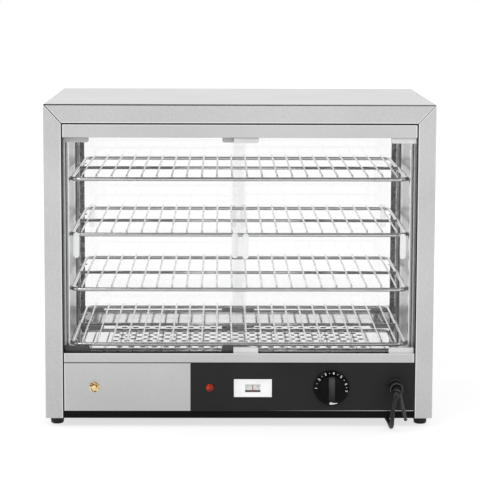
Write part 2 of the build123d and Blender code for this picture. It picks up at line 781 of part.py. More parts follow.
def gauge_case():
    """White thermometer case: a raised rim, a sunk face with a window, and the body behind."""
    x, z = GAUGE_X, GAUGE_Z
    face_y = FASCIA_FACE - GAUGE_RAISED
    case = block(x, (face_y, FASCIA_FACE), z)
    case = chamfer(case.faces().sort_by(Axis.Y)[0].edges(), HEM)
    case += block(
        (x[0] + GAUGE_STEP, x[1] - GAUGE_STEP),
        (FASCIA_FACE, TRIM_BACK + GAUGE_BEHIND),
        (z[0] + GAUGE_STEP, z[1] - GAUGE_STEP),
    )
    case -= block(
        (x[0] + GAUGE_RIM, x[1] - GAUGE_RIM),
        (face_y - 1, face_y + GAUGE_SUNK),
        (z[0] + GAUGE_RIM, z[1] - GAUGE_RIM),
    )
    case -= block(WINDOW_X, (face_y - 1, FASCIA_FACE + GAUGE_RAISED), WINDOW_Z)
    case -= block(
        (WINDOW_X[0] - DIAL_SIDE, WINDOW_X[1] + DIAL_SIDE),
        (face_y + DIAL_SIDE, DIAL_AT),
        (WINDOW_Z[0] - DIAL_BELOW, WINDOW_Z[1] + DIAL_ABOVE),
    )
    return case


def gauge_window():
    """Clear cover in the window."""
    cover_y = FASCIA_FACE - GAUGE_RAISED + KNOB_SOFT
    return block(WINDOW_X, (cover_y, cover_y + WINDOW_THICK), WINDOW_Z)


def gauge_dial():
    """Scale card behind the needle."""
    card = block(
        (WINDOW_X[0] - DIAL_SIDE, WINDOW_X[1] + DIAL_SIDE),
        (DIAL_AT - DIAL_THICK, DIAL_AT),
        (WINDOW_Z[0] - DIAL_BELOW, WINDOW_Z[1] + DIAL_ABOVE),
    )
    return card - extrude(facing(GAUGE_PIVOT, DIAL_AT + 1) * Circle(AXLE / 2), 3 * THIN)


def gauge_axle():
    """Pin that the needle turns on."""
    return extrude(facing(GAUGE_PIVOT, DIAL_AT) * Circle(AXLE / 2), 4 * THIN)


def gauge_needle():
    """Tapered pointer on a small hub."""
    plane = facing(GAUGE_PIVOT, FASCIA_FACE + 2 * AXLE)
    hub = extrude(plane * (Circle(NEEDLE_HUB / 2) - Circle(AXLE / 2 + SHAFT_PLAY)), THIN)
    points = [
        (-NEEDLE_WIDE / 2, AXLE),
        (NEEDLE_WIDE / 2, AXLE),
        (NEEDLE_TIP / 2, NEEDLE_LENGTH),
        (-NEEDLE_TIP / 2, NEEDLE_LENGTH),
    ]
    pointer = make_face(Polyline(*points, close=True).edges())
    return hub + extrude(plane * pointer, HEM)


def gland_body():
    """Flange on the fascia with the threaded barrel through the panel."""
    size = GLAND_SIZE / 2
    barrel = GLAND_BARREL / 2
    bore = CORD / 2 + 0.4
    outer_neck = GLAND_NECK
    profile = [
        (bore, -GLAND_BEHIND),
        (barrel, -GLAND_BEHIND),
        (barrel, 0),
        (size, 0),
        (size, GLAND_FLANGE - 1),
        (size - 1, GLAND_FLANGE),
        (outer_neck, GLAND_FLANGE),
        (outer_neck, GLAND_NECK),
        (bore, GLAND_NECK),
    ]
    return turned(profile, GLAND_AT, FASCIA_FACE)


def gland_locknut():
    """Hexagonal nut inside the panel."""
    size, thick = LOCKNUT
    ring = RegularPolygon(size, 6) - Circle(GLAND_BARREL / 2)
    return extrude(facing(GLAND_AT, TRIM_BACK) * ring, -thick)


def gland_nut():
    """Domed compression nut."""
    size = GLAND_NUT / 2
    mouth = GLAND_MOUTH / 2
    out = GLAND_NUT_OUT
    profile = [
        (GLAND_NECK, GLAND_FLANGE),
        (size, GLAND_FLANGE),
        (size, out - 6.0),
        (size - 0.6, out - 3.0),
        (GLAND_NECK, out - 0.8),
        (mouth + 0.8, out),
        (mouth, out),
        (mouth, GLAND_NECK),
        (GLAND_NECK, GLAND_NECK),
    ]
    return turned(profile, GLAND_AT, FASCIA_FACE)


def boot_place(turn):
    """Centre and heading on the boot's bend after a turn in degrees, and the bend's axis."""
    lean = math.radians(BOOT_LEAN)
    down = Vector(-math.sin(lean), 0, -math.cos(lean))
    out = Vector(0, -1, 0)
    angle = math.radians(turn)
    start = Vector(GLAND_AT[0], BOOT_START, GLAND_AT[1])
    centre = start + out * (BOOT_ARC * math.sin(angle)) + down * (BOOT_ARC * (1 - math.cos(angle)))
    heading = out * math.cos(angle) + down * math.sin(angle)
    return centre, heading, Axis(start + down * BOOT_ARC, out.cross(down))


def strain_relief():
    """Ribbed rubber boot that bends down from the gland, thinner rib by rib."""
    boot = extrude(facing(GLAND_AT, BOOT_START) * Circle(BOOT_RIBS[0]), -BOOT_TAIL)
    span = BOOT_TURN / len(BOOT_RIBS)
    for number, radius in enumerate(BOOT_RIBS):
        centre, heading, hinge = boot_place(number * span)
        boot += revolve(Plane(origin=centre, z_dir=heading) * Circle(radius), hinge, span)
    return boot


def cord_route():
    """Corner points of the cord's runs, from the boot to the coil, in cabinet places."""
    return [
        (230.6, -214.7, 51.8),
        (227.4, -218.3, 41.0),
        (226.6, -217.8, 25.8),
        (226.9, -209.4, 11.9),
        (227.4, -194.9, 3.4),
        (227.6, -166.0, 3.4),
        (224.6, -116.0, 3.4),
        (221.8, -62.0, 3.4),
        (222.6, -6.0, 3.4),
        (220.0, 50.0, 3.4),
        (212.0, 104.0, 3.4),
        (198.0, 154.0, 3.4),
        (189.4, 194.0, 3.4),
        (188.0, 218.6, 3.4),
    ]


def corner_radii(points):
    """The largest even arc for each corner: 0.45 of its shorter run over the half turn."""
    radii = []
    for before, here, after in zip(points, points[1:], points[2:]):
        way_in = Vector(*here) - Vector(*before)
        way_out = Vector(*after) - Vector(*here)
        turn = math.radians(way_in.get_angle(way_out))
        shorter = min(way_in.length, way_out.length)
        radii.append(0.45 * shorter / math.tan(turn / 2))
    return radii


def mains_cord():
    """The stretch of cord that isn't coiled."""
    points = cord_route()
    radii = corner_radii(points)
    path = FilletPolyline(*points, radius=radii)
    plane = Plane(origin=points[0], z_dir=Vector(*points[1]) - Vector(*points[0]))
    tube = sweep(plane * Circle(CORD / 2), path=path)
    print("cord radii", [round(radius, 1) for radius in radii])
    print("cord length", round(path.length, 1))
    section = math.pi * CORD**2 / 4
    print("cord volume over section times length", round(tube.volume / (section * path.length), 4))
    return tube


def cord_coil():
    """Outer shape of the put-away coil."""
    ring = Pos(COIL_MIDDLE, COIL_HIGH / 2) * Rectangle(COIL_WIDE, COIL_HIGH)
    ring = chamfer(ring.vertices(), COIL_ROUND)
    return Pos(COIL_AT[0], COIL_AT[1], 0) * revolve(Plane.XZ * ring, Axis.Z)


def coil_tie():
    """Strap round the coil's turns, with its head on top."""
    x = (COIL_AT[0] - COIL_MIDDLE - COIL_WIDE / 2, COIL_AT[0] - COIL_MIDDLE + COIL_WIDE / 2)
    y = (COIL_AT[1] - STRAP_WIDE / 2, COIL_AT[1] + STRAP_WIDE / 2)
    top = COIL_HIGH + STRAP_THICK
    strap = block((x[0] - STRAP_THICK, x[1] + STRAP_THICK), y, (STRAP_SLACK, top))
    strap -= block((x[0] - STRAP_SLACK, x[1] + STRAP_SLACK), y, (0, COIL_HIGH))
    from_edge, head_long, head_high = STRAP_HEAD
    head = block(
        (x[0] + from_edge, x[0] + from_edge + head_long),
        (y[0] - STRAP_THICK, y[1] + STRAP_THICK),
        (top, top + head_high),
    )
    return strap + head


def cord_plug():
    """Three-pin mains plug lying beside the coil, with its tapered boot against the turns."""
    long, wide, high = PLUG_BODY
    low_x = COIL_AT[0] - PLUG_BACK
    y = COIL_AT[1] + COIL_MIDDLE
    body = block((low_x, low_x + long), (y - wide / 2, y + wide / 2), (0, high))
    body = fillet(body.edges().filter_by(Axis.X), PLUG_CORNER)
    body = chamfer(body.faces().sort_by(Axis.X)[-1].edges(), PLUG_SHOULDER)
    boot_size, boot_long = PLUG_BOOT
    boot_plane = Plane(origin=(low_x + long, y, high / 2), z_dir=(1, 0, 0))
    body += extrude(boot_plane * Circle(boot_size / 2), boot_long, taper=PLUG_TAPER)
    face = Plane(origin=(low_x, y, high / 2), x_dir=(0, 1, 0), z_dir=(-1, 0, 0))
    flat, thick, reach = PIN
    for across, up, turn in PIN_PLACES:
        blade = Pos(across, up) * Rot(0, 0, turn) * Rectangle(flat, thick)
        body += extrude(face * blade, reach)
    return body


def cord_tie():
    """Strip twisted round the boot, with its long end hanging to the right."""
    x, z = GLAND_AT
    plane = facing(GLAND_AT, BOOT_START - 0.2)
    ring = extrude(plane * (Circle(TIE_RING + TIE_THICK) - Circle(TIE_RING)), TIE_WIDE)
    top = (x + TIE_RING + 0.4, BOOT_START - 3.2, z)
    middle = (x + TIE_MIDDLE[0], BOOT_START - TIE_MIDDLE[1], z - TIE_MIDDLE[2])
    curve = ThreePointArc(top, middle, (x + TIE_FOOT[0], BOOT_START - TIE_FOOT[1], TIE_END))
    start = Plane(origin=top, x_dir=(1, 0, 0), z_dir=curve % 0)
    tail = sweep(start * Rectangle(TIE_WIDE, TIE_THICK), path=curve)
    return ring + tail


def terminal_block():
    """Three-way block behind the gland."""
    x = GLAND_AT[0]
    y = (TRIM_FACE + TERMINAL_DEEP[0], TRIM_FACE + TERMINAL_DEEP[1])
    reach, base_high = TERMINAL_BASE
    low = BASE + THIN
    base = block((x - reach, x + 2), y, (low, low + base_high))
    for number in range(TERMINALS):
        at = x - reach + TERMINAL_PITCH / 2 + number * TERMINAL_PITCH
        base += block(
            (at - TERMINAL_WIDE / 2, at + TERMINAL_WIDE / 2),
            (y[0] + THIN, y[1] - THIN),
            (low + base_high - 1, BASE + TERMINAL_HIGH),
        )
    return base


def bond_stud():
    """Brass stud for an equipotential bonding lead: a shank through the panel and a free tip."""
    face_y = TRIM_FACE - STUD_WASHER[1] - STUD_NUT[1]
    reach = TRIM_BACK + STUD_BEHIND - face_y
    shank = extrude(facing(STUD_AT, face_y) * Circle(STUD_SHANK / 2), -reach)
    return shank + extrude(facing(STUD_AT, face_y) * Circle(STUD_SIZE / 2), STUD_TIP)


def bond_nuts():
    """Washer and nut at the front, nut behind the panel."""
    washer_size, washer_thick = STUD_WASHER
    flats, nut_thick = STUD_NUT
    bore = Circle(STUD_SHANK / 2)
    washer = Circle(washer_size / 2) - bore
    hexagon = RegularPolygon(flats / 2, 6, major_radius=False, rotation=30) - bore
    front_washer = extrude(facing(STUD_AT, TRIM_FACE) * washer, washer_thick)
    front_nut = extrude(facing(STUD_AT, TRIM_FACE - washer_thick) * hexagon, nut_thick)
    rear_nut = extrude(facing(STUD_AT, TRIM_BACK) * hexagon, -nut_thick)
    return [front_washer, front_nut, rear_nut]


def cabinet_nodes():
    """Every node but the doors, by name."""
    nodes = {
        "outer_wrap": outer_wrap(),
        "inner_side_left": liner(-1),
        "inner_side_right": liner(1),
        "inner_ceiling": ceiling(),
        "front_header": header(),
        "rear_header": rear(header()),
        "front_sill": sill(),
        "rear_sill": rear(sill()),
        "front_bottom_track": bottom_track(),
        "rear_bottom_track": rear(bottom_track()),
        "front_top_track": top_track(),
        "rear_top_track": rear(top_track()),
        "perforated_floor": perforated_floor(),
        "element_tray": element_tray(),
        "heating_element": heating_element(),
        "element_brackets": element_brackets(),
        "control_panel": control_panel(),
        "control_fascia": fascia(),
        "rear_lower_panel": rear(lower_panel()),
        "base_pan": base_pan(),
        "side_rails": [side_rail(-1), side_rail(1)],
        "feet": [foot(side, end) for side in (-1, 1) for end in (-1, 1)],
        "uprights_left": [upright(-1, -1), upright(-1, 1)],
        "uprights_right": [upright(1, -1), upright(1, 1)],
        "shelf_clips": [clip for level in SHELF_LEVELS for clip in shelf_clips(level)],
        "knob": knob(),
        "thermostat_shaft": thermostat_shaft(),
        "thermostat": thermostat(),
        "thermostat_bulb": thermostat_bulb(),
        "lamp_lens": lamp_lens(),
        "lamp_body": lamp_body(),
        "gauge_case": gauge_case(),
        "gauge_window": gauge_window(),
        "gauge_dial": gauge_dial(),
        "gauge_axle": gauge_axle(),
        "gauge_needle": gauge_needle(),
        "gland_body": gland_body(),
        "gland_locknut": gland_locknut(),
        "gland_nut": gland_nut(),
        "strain_relief": strain_relief(),
        "mains_cord": mains_cord(),
        "cord_coil": cord_coil(),
        "coil_tie": coil_tie(),
        "cord_plug": cord_plug(),
        "cord_tie": cord_tie(),
        "terminal_block": terminal_block(),
        "bond_stud": bond_stud(),
        "bond_nuts": bond_nuts(),
    }
    for number, level in enumerate(SHELF_LEVELS, start=1):
        nodes[f"shelf_{number}"] = shelf(level)
    return nodes


def door_nodes():
    """Panes and shoes of the front pair and the rear pair."""
    nodes = {}
    for outer, side_name in ((True, "right"), (False, "left")):
        glass = door_glass(outer)
        shoes = door_shoes(outer)
        nodes[f"front_glass_{side_name}"] = glass
        nodes[f"front_shoes_{side_name}"] = shoes
        nodes[f"rear_glass_{side_name}"] = rear(glass)
        nodes[f"rear_shoes_{side_name}"] = [rear(shoe) for shoe in shoes]
    return nodes


def solids_of(pieces):
    """All solids of one node, in one compound when there are several."""
    if not isinstance(pieces, list):
        pieces = [pieces]
    solids = [solid for piece in pieces for solid in piece.solids()]
    return solids[0] if len(solids) == 1 else Compound(solids)


os.makedirs("parts", exist_ok=True)
all_nodes = cabinet_nodes()
all_nodes.update(door_nodes())
for name, pieces in all_nodes.items():
    node = Pos(0, BOX_SHIFT, 0) * solids_of(pieces)
    export_step(node, f"parts/{name}.step")
print(len(all_nodes), "nodes")
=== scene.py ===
import json
import math

import bmesh
import bpy
from mathutils import Matrix, Vector


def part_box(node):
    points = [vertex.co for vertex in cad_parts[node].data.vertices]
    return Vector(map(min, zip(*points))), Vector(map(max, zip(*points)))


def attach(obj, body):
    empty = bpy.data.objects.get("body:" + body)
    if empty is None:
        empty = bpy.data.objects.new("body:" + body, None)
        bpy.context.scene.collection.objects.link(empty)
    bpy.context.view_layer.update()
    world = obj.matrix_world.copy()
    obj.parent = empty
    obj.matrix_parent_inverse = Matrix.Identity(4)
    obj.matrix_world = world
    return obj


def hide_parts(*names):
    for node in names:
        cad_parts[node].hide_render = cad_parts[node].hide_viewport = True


# A counter-top pie warmer, dressed over its construction model. Sizes are in millimetres
# times MM, in the row frame: X right, Y from the front to the rear, Z up from the surface.
MM = 0.001


def grey(level):
    """A grey colour of one level."""
    return (level, level, level)


# Camera at the photograph's viewing angle: place, turns, focal length in pixels of 480, shift
CAMERA_AT = (-0.02571, -2.88788, 0.68338)
CAMERA_YAW = -0.00959
CAMERA_PITCH = -0.11983
CAMERA_ROLL = -0.00303
CAMERA_FOCUS = 1852.05
CAMERA_SHIFT = -0.1
FRAME_PIXELS = 480
SENSOR = 36.0

# Light: the world on the object, and how much of it the dark studio takes from mirrors.
# A pair is where a change starts and ends, by direction in the world and in metres on the floor.
WORLD_LIGHT = 0.8
STUDIO_DARK = 0.96
STUDIO_SIDE = (-0.45, -0.05)
STUDIO_EDGE = (0.20, 0.32)
STUDIO_TOP = (0.88, 0.98)
OVERHEAD = 0.7
FLOOR_GLOW = 0.70
FLOOR_BEHIND = 0.08
FLOOR_BACK = (0.35, 1.2)
FLOOR_FRONT = (-0.1, 0.25)
FLOOR_NEAR = (0.3, 3.0)
FLOOR_REACH = 12.0
# Depth of the painted shadow on the floor near the object, seen only in mirrors
MIRRORED_SHADOW_DEPTH = 0.25
LAMP_AIM = (0, 0, 0.25)
LAMP_SIZE = 1.8

# Mains cord: its route in metres as in the construction model, the turns of its coil, and its
# last points in millimetres from the plug's end
CORD = 6.8 * MM
CORD_ROUTE = [
    (0.2306, -0.2029, 0.0518),
    (0.2274, -0.2065, 0.0410),
    (0.2266, -0.2060, 0.0258),
    (0.2269, -0.1976, 0.0119),
    (0.2274, -0.1831, 0.0034),
    (0.2276, -0.1542, 0.0034),
    (0.2246, -0.1042, 0.0034),
    (0.2218, -0.0502, 0.0034),
    (0.2226, 0.0058, 0.0034),
    (0.2200, 0.0618, 0.0034),
    (0.2120, 0.1158, 0.0034),
    (0.1980, 0.1658, 0.0034),
    (0.1894, 0.2058, 0.0034),
    (0.1880, 0.2304, 0.0034),
]
COIL_COLUMNS = [44.8 * MM, 38.0 * MM, 31.2 * MM]
COIL_LAYERS = [3.4 * MM, 10.2 * MM]
COIL_TURNS = 5
COIL_START = -32.0
COIL_END = 86.0
TURN_POINTS = 18
CROSSOVER_POINTS = 3
PLUG_AXIS = 11.0 * MM
LEAD_OUT = [(26.0, 5.6, -0.8), (14.0, 2.2, -0.4), (4.0, 0.1, 0.0), (-4.0, 0.0, 0.0)]

# Wire shelves
SHELF_COUNT = 4
RAIL = 6.0 * MM
MIDDLE_RAIL = 5.0 * MM
WIRE = 3.0 * MM
WIRE_COUNT = 22
WIRE_PITCH = 22.5 * MM
SHELF_HALF_DEPTH = 154.0 * MM
SHELF_CORNER = 14.0 * MM
WIRE_BEND = 2.5 * MM

# Beaded tie round the boot: its hanging end starts, bends and stops in millimetres from the ring
TIE_RING = 8.4 * MM
TIE_WIDE = 4.8 * MM
TIE_THICK = 1.4 * MM
TIE_BEAD = 3.0 * MM
TIE_START = (5.2, -3.6, -7.6)
TIE_BEND = (8.4, -8.8, -24.0)
TIE_STOP = (13.0, -12.8)
BEAD_SHAPE = (0.6 * TIE_WIDE, 0.9 * TIE_THICK, 0.72 * TIE_BEAD)

# Perforated floor
HOLE = 10.2 * MM
HOLE_PITCH = 18.0 * MM
HOLE_ROWS = 13
HOLES_IN_ROW = 22
HOLE_SIDES = 20
FLOOR_SHEET = 1.0 * MM

# Outer wrap: the returns that meet at the mitred corners, painted highlights on their cut edges
# and beside the seams, the dark seams, and a painted shade line on the top bend; the seams'
# darkness and the shade line fade to the right as painted shade
SIDE_RETURN = 26.0 * MM
TOP_RETURN = 28.0 * MM
FACE_DEPTH = 2.0 * MM
EDGE_LINE = 0.95 * MM
# Painted highlight: a near-white tone on the wrap's cut edges, beside its seams and on lines of the
# jambs
HIGHLIGHT_TONE = (0.97, 0.97, 0.965)
SEAM_LINE = 1.05 * MM
SEAM_LIGHT = 2.1 * MM
BEND_SHADE = (0.5 * MM, 2.0 * MM)
# Tone of the real dark seams and of the painted shade line on the top bend, darkest at the left and
# paler to the right as painted shade
SEAM_AND_SHADE_DARK = grey(0.02)
SEAM_AND_SHADE_PALE = grey(0.24)
SHADE_SPAN = (-120.0 * MM, 260.0 * MM)

# Trim inside the wrap: the gap round it with black strips of painted shade in it, and the dark
# joint of sill and lower panel
TRIM_GAP = 2.2 * MM
TRIM_SET_BACK = 1.2 * MM
PANEL_TOP = 98.3 * MM
JOINT_LINE = 1.4 * MM
STRIP_SKIN = 0.3 * MM
STRIP_PROUD = 0.03 * MM
STRIP_CLEAR = 0.05 * MM
STRIP_LAP = 0.4 * MM
STRIP_FOOT = 11.0 * MM

# Painted highlights on the ends and upper edges of the trim, a painted shade line under the fascia,
# and the lip of panel steel below it, painted from shade at the left to a highlight at the right
TRIM_EDGE = 260.2 * MM
TRIM_HIGHLIGHT_TONE = grey(0.80)
HEADER_EDGE = 1.6 * MM
SILL_EDGE = 1.4 * MM
FASCIA_SHADE = 0.6 * MM
SHADE_TONE = grey(0.03)
LIP_SPAN = (40.0 * MM, 240.0 * MM)
LIP_LINE = 1.7 * MM
LIP_SHADE_TONE = grey(0.05)
LIP_HIGHLIGHT_TONE = grey(0.80)

# Inner side walls, by distance from the cabinet's middle: painted lit and shaded zones, and painted
# highlight and shade lines on the jamb faces
WALL_LIGHT = (50.0 * MM, 84.0 * MM)
WALL_SHADE = (87.0 * MM, 100.0 * MM)
JAMB_OUTSIDE = 153.4 * MM
JAMB_LIGHT = (259.9 * MM, 261.5 * MM)
# Painted shade line on the jamb faces, between painted highlight lines
JAMB_SHADE_LINE = (258.2 * MM, 259.9 * MM)
JAMB_HEM = 256.0 * MM

# Finger pulls in the glass: a slot-shaped hollow, frosted
PULL_INSET = 13.3 * MM
PULL_WIDTH = 9.0 * MM
PULL_HEIGHT = 38.5 * MM
PULL_MIDDLE = 274.0 * MM
PULL_DEPTH = 1.6 * MM
PULL_SKIN = 0.3 * MM
PULL_CLEAR = 0.02 * MM
PULL_PROUD = 0.03 * MM
PULL_STEPS = 12

# Control knob: radii and distances out from the fascia, and its print
KNOB_SKIRT = 26.5 * MM
KNOB_SKIRT_EDGE = 3.2 * MM
KNOB_SLOPE_IN = 19.7 * MM
KNOB_SLOPE_OUT = 25.5 * MM
KNOB_SLOPE_HIGH = 6.2 * MM
KNOB_SLOPE_LOW = 4.2 * MM
KNOB_CAP = 18.5 * MM
KNOB_FACE = 10.8 * MM
KNOB_TOP = 24.0 * MM
KNOB_GRIP = 4.7 * MM
KNOB_GAP = 0.8 * MM
KNOB_ROUND = 1.1 * MM
KNOB_NUMBERS = [("1", 180), ("2", 144), ("3", 113), ("4", 82), ("5", 50), ("6", 16), ("7", -11)]
KNOB_WEDGE = (-96, -68)
NUMERAL = 5.4 * MM
DOT = 3.8 * MM
PRINT = 0.12 * MM
WEDGE_TAPER = 3.4 * MM
WEDGE_THIN = 1.2 * MM
WEDGE_RIM = 0.4 * MM
WEDGE_STEPS = 8

# Thermometer's card: ticks over most of the window's width, and how its print stands on it
GAUGE_TICKS = 13
GAUGE_SPREAD = 0.84
TICK_WIDE = 0.24 * MM
TICK_SHORT = 1.5 * MM
TICK_TALL = 2.6 * MM
GAUGE_NUMERAL = 2.6 * MM
INK_PROUD = 0.08 * MM
INK_SUNK = 0.02 * MM

# Bonding stud: thread from crest to root, its plain end inside the nut, and the shank behind
STUD_PITCH = 1.25 * MM
STUD_CREST = 3.95 * MM
STUD_ROOT = 3.45 * MM
STUD_CORE = 3.5 * MM
STUD_SHANK = 4.5 * MM
STUD_INSIDE = 2.0 * MM

# Rivets of the rear panel: how far in from its edges, and the turned form of one in millimetres
RIVET_INSET = 14.0 * MM
RIVET_ABOVE_FOOT = 24.0 * MM
RIVET = [(0, -0.4), (3.2, -0.4), (3.4, 0.3), (3.0, 1.0), (1.9, 1.5), (0.9, 1.6), (0.8, 0.7),
         (0, 0.8)]


def placed(name, data):
    """An object made of its data, in the scene."""
    obj = bpy.data.objects.new(name, data)
    bpy.context.scene.collection.objects.link(obj)
    return obj


def finished(name, bm, *finishes, smooth=True):
    """An object from a bmesh, with its normals outwards."""
    bmesh.ops.recalc_face_normals(bm, faces=bm.faces)
    mesh = bpy.data.meshes.new(name)
    bm.to_mesh(mesh)
    bm.free()
    for polygon in mesh.polygons:
        polygon.use_smooth = smooth
    for finish in finishes:
        mesh.materials.append(finish)
    return placed(name, mesh)


# Materials

def material(name, **values):
    """A material with its node tree and its Principled shader, with even values by name."""
    made = bpy.data.materials.new(name)
    made.use_nodes = True
    tree = made.node_tree
    shader = tree.nodes["Principled BSDF"]
    names = {"metallic": "Metallic", "rough": "Roughness", "shine": "Specular IOR Level"}
    for key, value in values.items():
        shader.inputs[names[key]].default_value = value
    return made, tree, shader


def node(tree, kind, **values):
    """A node with its inputs and settings given by name."""
    made = tree.nodes.new(kind)
    for key, value in values.items():
        name = key.replace("_", " ").title()
        if name in made.inputs:
            made.inputs[name].default_value = value
        else:
            setattr(made, key, value)
    return made


def feed(tree, value, socket):
    """Link a socket, or set a plain number or colour."""
    if isinstance(value, (int, float)):
        socket.default_value = value
    elif isinstance(value, tuple):
        socket.default_value = (*value, 1)
    else:
        tree.links.new(value, socket)


def noise(tree, scale, stretch=(1, 1, 1), detail=2.0, roughness=0.5):
    """Noise over the piece's own place in the row frame, stretched along an axis."""
    place = node(tree, "ShaderNodeTexCoord")
    mapping = node(tree, "ShaderNodeMapping", scale=stretch)
    pattern = node(tree, "ShaderNodeTexNoise", scale=scale, detail=detail, roughness=roughness)
    tree.links.new(place.outputs["Object"], mapping.inputs["Vector"])
    tree.links.new(mapping.outputs["Vector"], pattern.inputs["Vector"])
    return pattern.outputs["Fac"]


def spread(tree, socket, low, high, start, end):
    """A value mapped from start..end to low..high."""
    made = node(tree, "ShaderNodeMapRange", from_min=start, from_max=end, to_min=low,
                to_max=high)
    tree.links.new(socket, made.inputs["Value"])
    return made.outputs["Result"]


def tinted(tree, socket, low, high, start=0.3, end=0.7):
    """A colour between two, by a value."""
    return painted(tree, low, spread(tree, socket, 0, 1, start, end), high)


def bumped(tree, shader, height, distance, strength):
    """Relief of a real depth on the shader's normal."""
    made = node(tree, "ShaderNodeBump", strength=strength, distance=distance)
    tree.links.new(height, made.inputs["Height"])
    tree.links.new(made.outputs["Normal"], shader.inputs["Normal"])


def mixed(tree, factor, first, second):
    """First value where the factor is 0, second where it is 1."""
    made = node(tree, "ShaderNodeMix", data_type="FLOAT")
    for number, value in ((0, factor), (2, first), (3, second)):
        feed(tree, value, made.inputs[number])
    return made.outputs[0]


def arithmetic(tree, operation, first, second):
    """A sum, product or comparison of sockets or plain numbers."""
    made = node(tree, "ShaderNodeMath", operation=operation)
    for number, value in enumerate((first, second)):
        feed(tree, value, made.inputs[number])
    return made.outputs[0]


def grain(tree, along):
    """Fine satin lines drawn out along one axis."""
    stretch = {"X": (0.035, 1, 1), "Z": (1, 1, 0.035)}[along]
    return noise(tree, 900.0, stretch, detail=3.0, roughness=0.6)


def position(tree, kind="Object"):
    """X, Y and Z of a point in the row frame, or of a direction in the world, as sockets."""
    place = node(tree, "ShaderNodeTexCoord")
    parts = node(tree, "ShaderNodeSeparateXYZ")
    tree.links.new(place.outputs[kind], parts.inputs[0])
    return parts.outputs


def above(tree, socket, low):
    """1 where a value is over a number, else 0."""
    return arithmetic(tree, "GREATER_THAN", socket, low)


def below(tree, socket, high):
    """1 where a value is under a number, else 0."""
    return arithmetic(tree, "LESS_THAN", socket, high)


def between(tree, socket, low, high):
    """1 where a value lies between two numbers, else 0."""
    return all_of(tree, above(tree, socket, low), below(tree, socket, high))


def away_from(tree, socket, middle=0.0):
    """How far a value is from a number."""
    return arithmetic(tree, "ABSOLUTE", arithmetic(tree, "SUBTRACT", socket, middle), 0)


def all_of(tree, *zones):
    """1 where every zone is 1."""
    result = zones[0]
    for zone in zones[1:]:
        result = arithmetic(tree, "MULTIPLY", result, zone)
    return result


def painted(tree, tone, zone, colour):
    """A tone laid over another one where the zone is 1."""
    made = node(tree, "ShaderNodeMix", data_type="RGBA")
    for number, value in ((0, zone), (6, tone), (7, colour)):
        feed(tree, value, made.inputs[number])
    return made.outputs[2]


def rolled_tone(tree, colour):
    """Clouds and fine speckle of rolled sheet round a colour."""
    clouds = arithmetic(tree, "MULTIPLY", noise(tree, 7.0, detail=3.0), 0.4)
    speckle = arithmetic(tree, "MULTIPLY", noise(tree, 650.0), 0.6)
    both = arithmetic(tree, "ADD", clouds, speckle)
    pale = tuple(min(1.0, part * 1.09) for part in colour)
    dim = tuple(part * 0.91 for part in colour)
    return tinted(tree, both, dim, pale, 0.35, 0.65)


def satin(name, colour, rough=(0.28, 0.34), trim=None):
    """Satin metal with its grain across the front; trim has painted highlights at its ends and
    along its upper edge.
    """
    made, tree, shader = material(name, metallic=1.0)
    lines = grain(tree, "X")
    tone = rolled_tone(tree, colour)
    if trim:
        x, _, z = position(tree)
        # Painted highlights on the trim's ends and along its upper edge
        tone = painted(tree, tone, above(tree, away_from(tree, x), TRIM_EDGE), TRIM_HIGHLIGHT_TONE)
        tone = painted(tree, tone, between(tree, z, *trim), TRIM_HIGHLIGHT_TONE)
    tree.links.new(tone, shader.inputs["Base Color"])
    tree.links.new(spread(tree, lines, *rough, 0.25, 0.75), shader.inputs["Roughness"])
    bumped(tree, shader, lines, 0.00001, 0.25)
    return made


def wrap_steel(name, colour):
    """Satin steel of the wrap: grain that turns at the mitres, dark seams, painted highlights on
    the edges and beside the seams, and a painted shade line on the top bend, with seams and line
    fading to the right as painted shade.
    """
    made, tree, shader = material(name, metallic=1.0)
    low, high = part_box("outer_wrap")
    x, y, z = position(tree)
    inwards = arithmetic(tree, "SUBTRACT", high.x, away_from(tree, x))
    downwards = arithmetic(tree, "SUBTRACT", high.z, z)
    endwards = away_from(tree, y, (low.y + high.y) / 2)
    on_faces = above(tree, endwards, (high.y - low.y) / 2 - FACE_DEPTH)
    slant = arithmetic(tree, "MULTIPLY", inwards, TOP_RETURN / SIDE_RETURN)
    past = arithmetic(tree, "SUBTRACT", slant, downwards)
    on_top = above(tree, past, 0.0)
    below_top = above(tree, downwards, TOP_RETURN)
    side_edge_highlight = between(tree, inwards, SIDE_RETURN - EDGE_LINE, SIDE_RETURN + EDGE_LINE)
    top_edge_highlight = between(tree, downwards, TOP_RETURN - EDGE_LINE, TOP_RETURN + EDGE_LINE)
    lines = mixed(tree, on_top, grain(tree, "Z"), grain(tree, "X"))
    tone = rolled_tone(tree, colour)
    shade = tinted(tree, x, SEAM_AND_SHADE_DARK, SEAM_AND_SHADE_PALE, *SHADE_SPAN)
    # Painted highlights on the cut edges and beside the seams, the seams, and the painted shade
    # line on the top bend
    for paint, *zones in (
        (HIGHLIGHT_TONE, below_top, side_edge_highlight),
        (HIGHLIGHT_TONE, on_top, top_edge_highlight),
        (HIGHLIGHT_TONE, between(tree, past, -SEAM_LIGHT, SEAM_LIGHT)),
        (shade, between(tree, past, -SEAM_LINE, SEAM_LINE)),
        (shade, on_top, between(tree, downwards, *BEND_SHADE)),
    ):
        tone = painted(tree, tone, all_of(tree, on_faces, *zones), paint)
    tree.links.new(tone, shader.inputs["Base Color"])
    tree.links.new(spread(tree, lines, 0.27, 0.37, 0.25, 0.75), shader.inputs["Roughness"])
    bumped(tree, shader, lines, 0.00002, 0.3)
    return made


